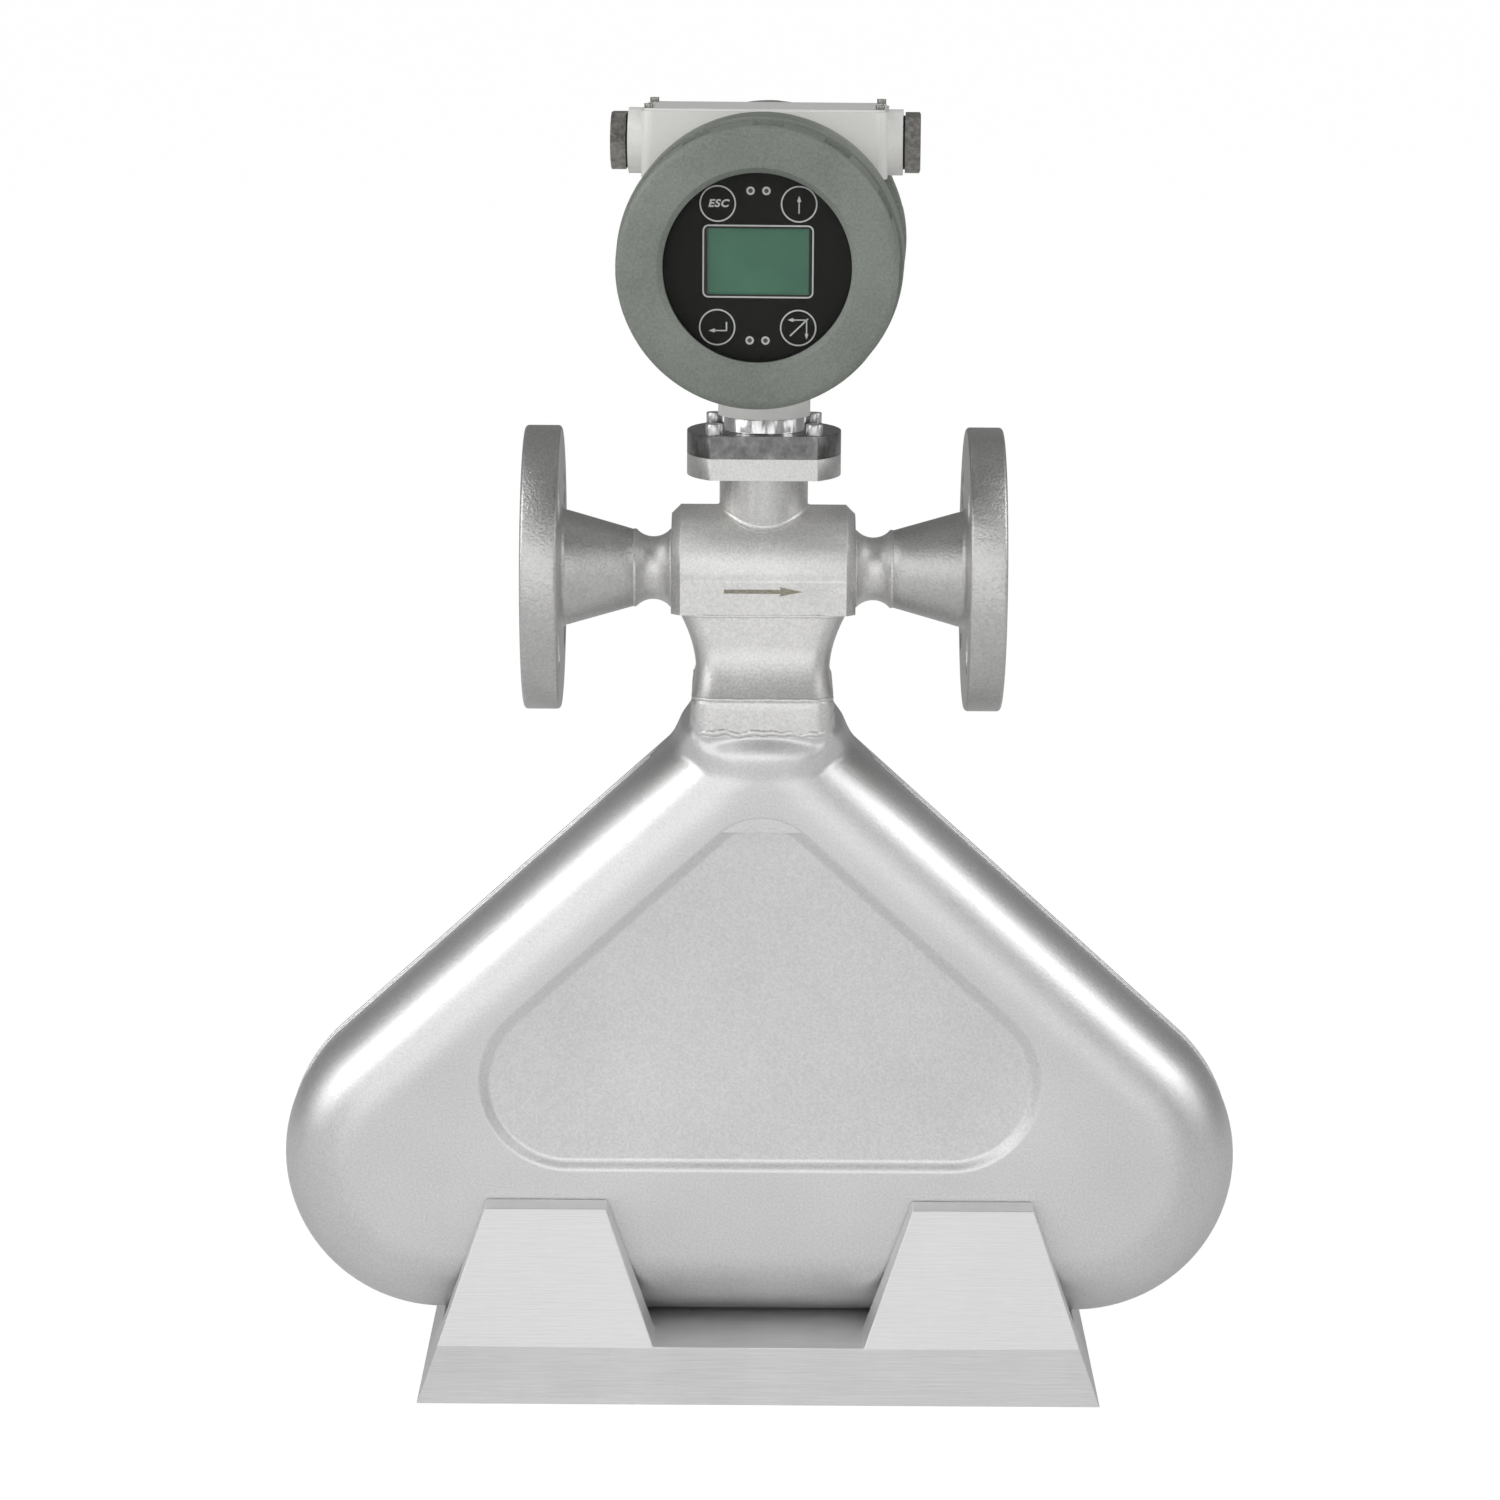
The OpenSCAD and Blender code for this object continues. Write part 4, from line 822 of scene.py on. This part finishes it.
def front_cover_profile():
    face, base = COVER_FACE, COVER_BASE
    step, groove = base + 31.7, RIM_R - 2.4
    line = [(48, base + 2), (54, base), (BAND_R - 0.4, base), (BAND_R, base + 0.4), (BAND_R, step - 0.3)]
    line += [(groove, step), (groove, step + 1.6), (RIM_R, step + 1.9)]
    line += [(RIM_R, face), (41.6, face), (39.3, face - 2.3), (39.3, face - 4.5)]
    line += [(44.2, face - 4.5), (44.2, face - 12), (48, face - 13), (48, base + 2)]
    radii = [0, 0, 0.3, 0.3, 0.9, 0.3, 0.3, 0.5, 4.2, 0.5, 0.5, 0.3, 0, 0, 0, 0]
    return dense(rounded(line, radii))


def rear_cover_profile():
    face, base = COVER_BASE + 19.2, COVER_BASE
    line = [(48, base + 2), (54, base), (BAND_R - 0.4, base), (BAND_R, base + 0.4)]
    line += [(BAND_R, face - 3.6), (BAND_R - 3.6, face)]
    line += [(0.02, face), (0.02, face - 4), (46, face - 4), (48, base + 2)]
    radii = [0, 0, 0.3, 0.3, 2.4, 1.8, 0, 0, 0, 0]
    return dense(rounded(line, radii))


NOTCHES = (-93.8, COVER_BASE + 33.2, COVER_FACE - 4.4, 3.6)
add_mesh(
    "front_cover_casting", *cover_mesh(front_cover_profile(), FORWARD, NOTCHES), COVER,
    body="front_cover", nodes=("front_cover",), sharp=40, slot="cover_paint",
)
REAR_NOTCHES = (-80, COVER_BASE + 6, COVER_BASE + 14.6, 2.2)
add_mesh(
    "rear_cover_casting", *cover_mesh(rear_cover_profile(), BACKWARD, REAR_NOTCHES), COVER,
    body="rear_cover", nodes=("rear_cover",), sharp=40, slot="cover_paint",
)

dress("transmitter_housing", HOUSING, 0.8)
dress("top_plate", HOUSING, 0.2)
dress("top_plate_screws", NICKEL, 0.15)
dress("left_conduit_plug", NICKEL, 0.4)
dress("right_conduit_plug", NICKEL, 0.4)
dress("left_plug_washer", RUBBER)
dress("right_plug_washer", RUBBER)
dress("front_cover_seal", RUBBER)
dress("rear_cover_seal", RUBBER)
dress("window_glass", GLASS)
dress("window_retainer", BLACK_PLASTIC)


# ------------------------------------------------------------------ display

PANEL_FRONT = COVER_FACE - 4.5 - 5 - 2 - 1
BUTTONS = ((-16.9, 25.7), (16.9, 25.7), (-16.9, -25.7), (16.9, -25.7))


def strip(line, width, closed=False):
    """A flat printed line of the given width, in the panel's plane."""
    left, right = [], []
    count = len(line)
    for i, p in enumerate(line):
        before = line[i - 1] if i or closed else p
        after = line[(i + 1) % count] if i < count - 1 or closed else p
        a, b = (p - before), (after - p)
        before, after = (a if a.length else b), (b if b.length else a)
        d = before.normalized() + after.normalized()
        d.normalize()
        n = Vector((-d.y, d.x))
        bend = max(0.4, abs(n.dot(Vector((-b.y, b.x)).normalized() if b.length else n)))
        left.append(p + n * width / 2 / bend)
        right.append(p - n * width / 2 / bend)
    return left, right


def printed(line, width, closed=False, lift=0.06):
    """A printed line as a thin solid that stands on the panel."""
    left, right = strip(line, width, closed)
    rings = []
    for a, b in zip(left, right):
        ring = [(a.x, a.y, -0.05), (b.x, b.y, -0.05), (b.x, b.y, lift), (a.x, a.y, lift)]
        rings.append([FORWARD @ Vector((x, y, PANEL_FRONT + h)) for x, y, h in ring])
    return skin(rings, loop=closed, caps=not closed)


def circle_line(centre, r, steps=72):
    turns = [math.tau * k / steps for k in range(steps)]
    return [Vector(centre) + Vector((math.cos(a), math.sin(a))) * r for a in turns]


def frame_line(width, height, r, centre, steps=8):
    line = []
    for q, (sx, sy) in enumerate(((1, 1), (-1, 1), (-1, -1), (1, -1))):
        for k in range(steps + 1):
            a = math.pi / 2 * (q + k / steps)
            corner = Vector((sx * (width / 2 - r), sy * (height / 2 - r)))
            line.append(Vector(centre) + corner + Vector((math.cos(a), math.sin(a))) * r)
    return line


def arrow_lines(tail, tip, size=2.1, width=0.5):
    """A straight arrow: shaft and a filled head."""
    tail, tip = Vector(tail), Vector(tip)
    d = (tip - tail).normalized()
    n = Vector((-d.y, d.x))
    root = tip - d * size * 1.7
    head = [root + n * size * 0.62, tip, root - n * size * 0.62]
    ring_low = [FORWARD @ Vector((p.x, p.y, PANEL_FRONT - 0.05)) for p in head]
    ring_high = [FORWARD @ Vector((p.x, p.y, PANEL_FRONT + 0.06)) for p in head]
    return [printed([tail, root], width), skin([ring_low, ring_high], caps=True)]


def letters(text, centre, size):
    """Slanted generic lettering as meshes in the panel's plane."""
    curve = bpy.data.curves.new("letters", "FONT")
    curve.body, curve.size, curve.extrude = text, size, 0.05
    curve.align_x, curve.align_y, curve.shear, curve.offset = "CENTER", "CENTER", 0.22, 0.15
    curve.space_character = 1.12
    holder = bpy.data.objects.new("letters", curve)
    bpy.context.collection.objects.link(holder)
    solid = bpy.data.meshes.new_from_object(holder)
    points = [
        FORWARD @ Vector((v.co.x * 1.1 + centre[0], v.co.y + centre[1], PANEL_FRONT + v.co.z))
        for v in solid.vertices
    ]
    faces = [tuple(p.vertices) for p in solid.polygons]
    bpy.data.objects.remove(holder)
    bpy.data.curves.remove(curve)
    bpy.data.meshes.remove(solid)
    return points, faces


legends = [printed(circle_line(c, 7.3), 0.6, True) for c in BUTTONS]
legends.append(printed(frame_line(45.6, 29.7, 2.2, (0, 1.8)), 0.64, True))
legends.append(letters("ESC", (BUTTONS[0][0] + 0.2, BUTTONS[0][1]), 4.3))
up, enter, turn = BUTTONS[1], BUTTONS[2], BUTTONS[3]
legends += arrow_lines((up[0], up[1] - 3.9), (up[0], up[1] + 3.5), 1.5)
legends += arrow_lines((enter[0] + 3.9, enter[1] - 1.4), (enter[0] - 3.5, enter[1] - 1.4), 1.5)
riser = [Vector((enter[0] + 3.9, enter[1] - 1.6)), Vector((enter[0] + 3.9, enter[1] + 2.2))]
legends.append(printed(riser, 0.6))
legends.append(printed([Vector((turn[0] - 3.4, turn[1] - 3.4)), Vector((turn[0] + 4.1, turn[1] + 3.9))], 0.6))
legends += arrow_lines((turn[0] + 3.6, turn[1] + 3.3), (turn[0] - 4.4, turn[1] + 3.3), 1.4)
legends += arrow_lines((turn[0] + 3.5, turn[1] + 3.3), (turn[0] + 3.5, turn[1] - 4.8), 1.4)
for x in (-3.3, 3.3):
    for z in (-31.1, 31.1):
        legends.append(printed(circle_line((x, z), 1.35, 32), 0.8, True))
add_mesh("panel_legends", *join_parts(legends), LEGEND, sharp=30, slot="panel_film")


def crystal_frame():
    """Dark bezel step round the liquid crystal window; its black also paints the recess's shade along the
    window's edge.
    """
    return printed(frame_line(43.2, 28.4, 0.8, (0, 1.8)), 0.9, True, 0.03)


# The black strip is the bezel and also painted shade at the window's edge.
add_mesh("crystal_bezel_and_painted_shade", *crystal_frame(), BLACK_PLASTIC, sharp=30, slot="panel_film")

dress("display_panel", PANEL)
dress("lcd_module", CRYSTAL)
dress("indicator_leds", LAMP)
for inner in ("display_board", "main_board", "power_board"):
    dress(inner, BOARD)
dress("board_pillars", BRASS)
dress("terminal_block", BLACK_PLASTIC)
dress("terminal_screws", BRASS)

for inner in ("front_flow_tube", "rear_flow_tube", "tube_node_plate", "brace_plates"):
    dress(inner, TUBE)
for inner in ("drive_coil", "left_pickoff_coil", "right_pickoff_coil"):
    dress(inner, COIL)
for inner in ("drive_magnet", "left_pickoff_magnet", "right_pickoff_magnet"):
    dress(inner, NICKEL)
dress("temperature_sensor", CERAMIC)
dress("signal_feedthrough", CERAMIC)
dress("signal_harness", SLEEVE)


# ------------------------------------------------------------------ floor, light and camera


def floor():
    """White floor that keeps a soft shadow; the camera sees it nearly white."""
    mat = bpy.data.materials.new("floor_white")
    mat.use_nodes = True
    tree = mat.node_tree
    tree.nodes.clear()
    out = tree.nodes.new("ShaderNodeOutputMaterial")
    paint = tree.nodes.new("ShaderNodeBsdfDiffuse")
    glow = tree.nodes.new("ShaderNodeEmission")
    mix = tree.nodes.new("ShaderNodeMixShader")
    seen = tree.nodes.new("ShaderNodeLightPath")
    camera_share = tree.nodes.new("ShaderNodeMath")
    mirror_share = tree.nodes.new("ShaderNodeMath")
    paint.inputs["Color"].default_value = (0.7, 0.7, 0.7, 1)
    glow.inputs["Strength"].default_value = 1.12
    camera_share.operation = "MULTIPLY"
    camera_share.inputs[1].default_value = 0.87
    mirror_share.operation = "MULTIPLY_ADD"
    mirror_share.inputs[1].default_value = 0.2
    tree.links.new(seen.outputs["Is Camera Ray"], camera_share.inputs[0])
    tree.links.new(seen.outputs["Is Glossy Ray"], mirror_share.inputs[0])
    tree.links.new(camera_share.outputs[0], mirror_share.inputs[2])
    tree.links.new(mirror_share.outputs[0], mix.inputs["Fac"])
    tree.links.new(paint.outputs[0], mix.inputs[1])
    tree.links.new(glow.outputs[0], mix.inputs[2])
    tree.links.new(mix.outputs[0], out.inputs["Surface"])
    mesh = bpy.data.meshes.new("floor")
    corners = [(x, y, -0.0002) for x, y in ((-30, -6), (30, -6), (30, 60), (-30, 60))]
    mesh.from_pydata(corners, [], [(0, 1, 2, 3)])
    mesh.materials.append(mat)
    plane = bpy.data.objects.new("floor", mesh)
    bpy.context.collection.objects.link(plane)


def world_light(level):
    world = bpy.data.worlds.new("studio")
    world.use_nodes = True
    tree = world.node_tree
    tree.nodes.clear()
    out = tree.nodes.new("ShaderNodeOutputWorld")
    soft, white = tree.nodes.new("ShaderNodeBackground"), tree.nodes.new("ShaderNodeBackground")
    mix, seen = tree.nodes.new("ShaderNodeMixShader"), tree.nodes.new("ShaderNodeLightPath")
    soft.inputs["Color"].default_value = (level, level, level, 1)
    white.inputs["Color"].default_value = (1, 1, 1, 1)
    tree.links.new(seen.outputs["Is Camera Ray"], mix.inputs["Fac"])
    tree.links.new(soft.outputs[0], mix.inputs[1])
    tree.links.new(white.outputs[0], mix.inputs[2])
    tree.links.new(mix.outputs[0], out.inputs["Surface"])
    bpy.context.scene.world = world


def softbox(name, place, size, power, target=(0, 0, 0.28)):
    light = bpy.data.lights.new(name, "AREA")
    light.shape, light.size, light.size_y, light.energy = "RECTANGLE", size[0], size[1], power
    lamp = bpy.data.objects.new(name, light)
    bpy.context.collection.objects.link(lamp)
    lamp.location = place
    lamp.rotation_euler = (Vector(target) - Vector(place)).to_track_quat("-Z", "Y").to_euler()


def camera():
    data = bpy.data.cameras.new("camera")
    data.sensor_width, data.lens = 36.0, 116.64
    data.clip_start, data.clip_end = 0.05, 100
    cam = bpy.data.objects.new("camera", data)
    bpy.context.collection.objects.link(cam)
    tilt = Matrix.Rotation(math.radians(90 - 11.3), 4, "X") @ Matrix.Rotation(math.radians(0.35), 4, "Z")
    cam.matrix_world = Matrix.Translation((-0.0053, -2.1, 0.6975)) @ tilt
    bpy.context.scene.camera = cam


floor()
world_light(0.22)
softbox("band_left", (-1.75, -0.8, 1.95), (0.9, 1.5), 18)
softbox("band_right", (1.8, -0.6, 1.95), (0.8, 1.5), 15)
softbox("side_left", (-2.4, -0.7, 1.0), (1.5, 1.0), 8)
softbox("side_right", (2.4, -0.7, 1.0), (1.5, 1.0), 4)
softbox("front", (-0.3, -3.2, 1.0), (4.4, 2.8), 42)
camera()
bpy.context.scene.view_settings.view_transform = "Standard"
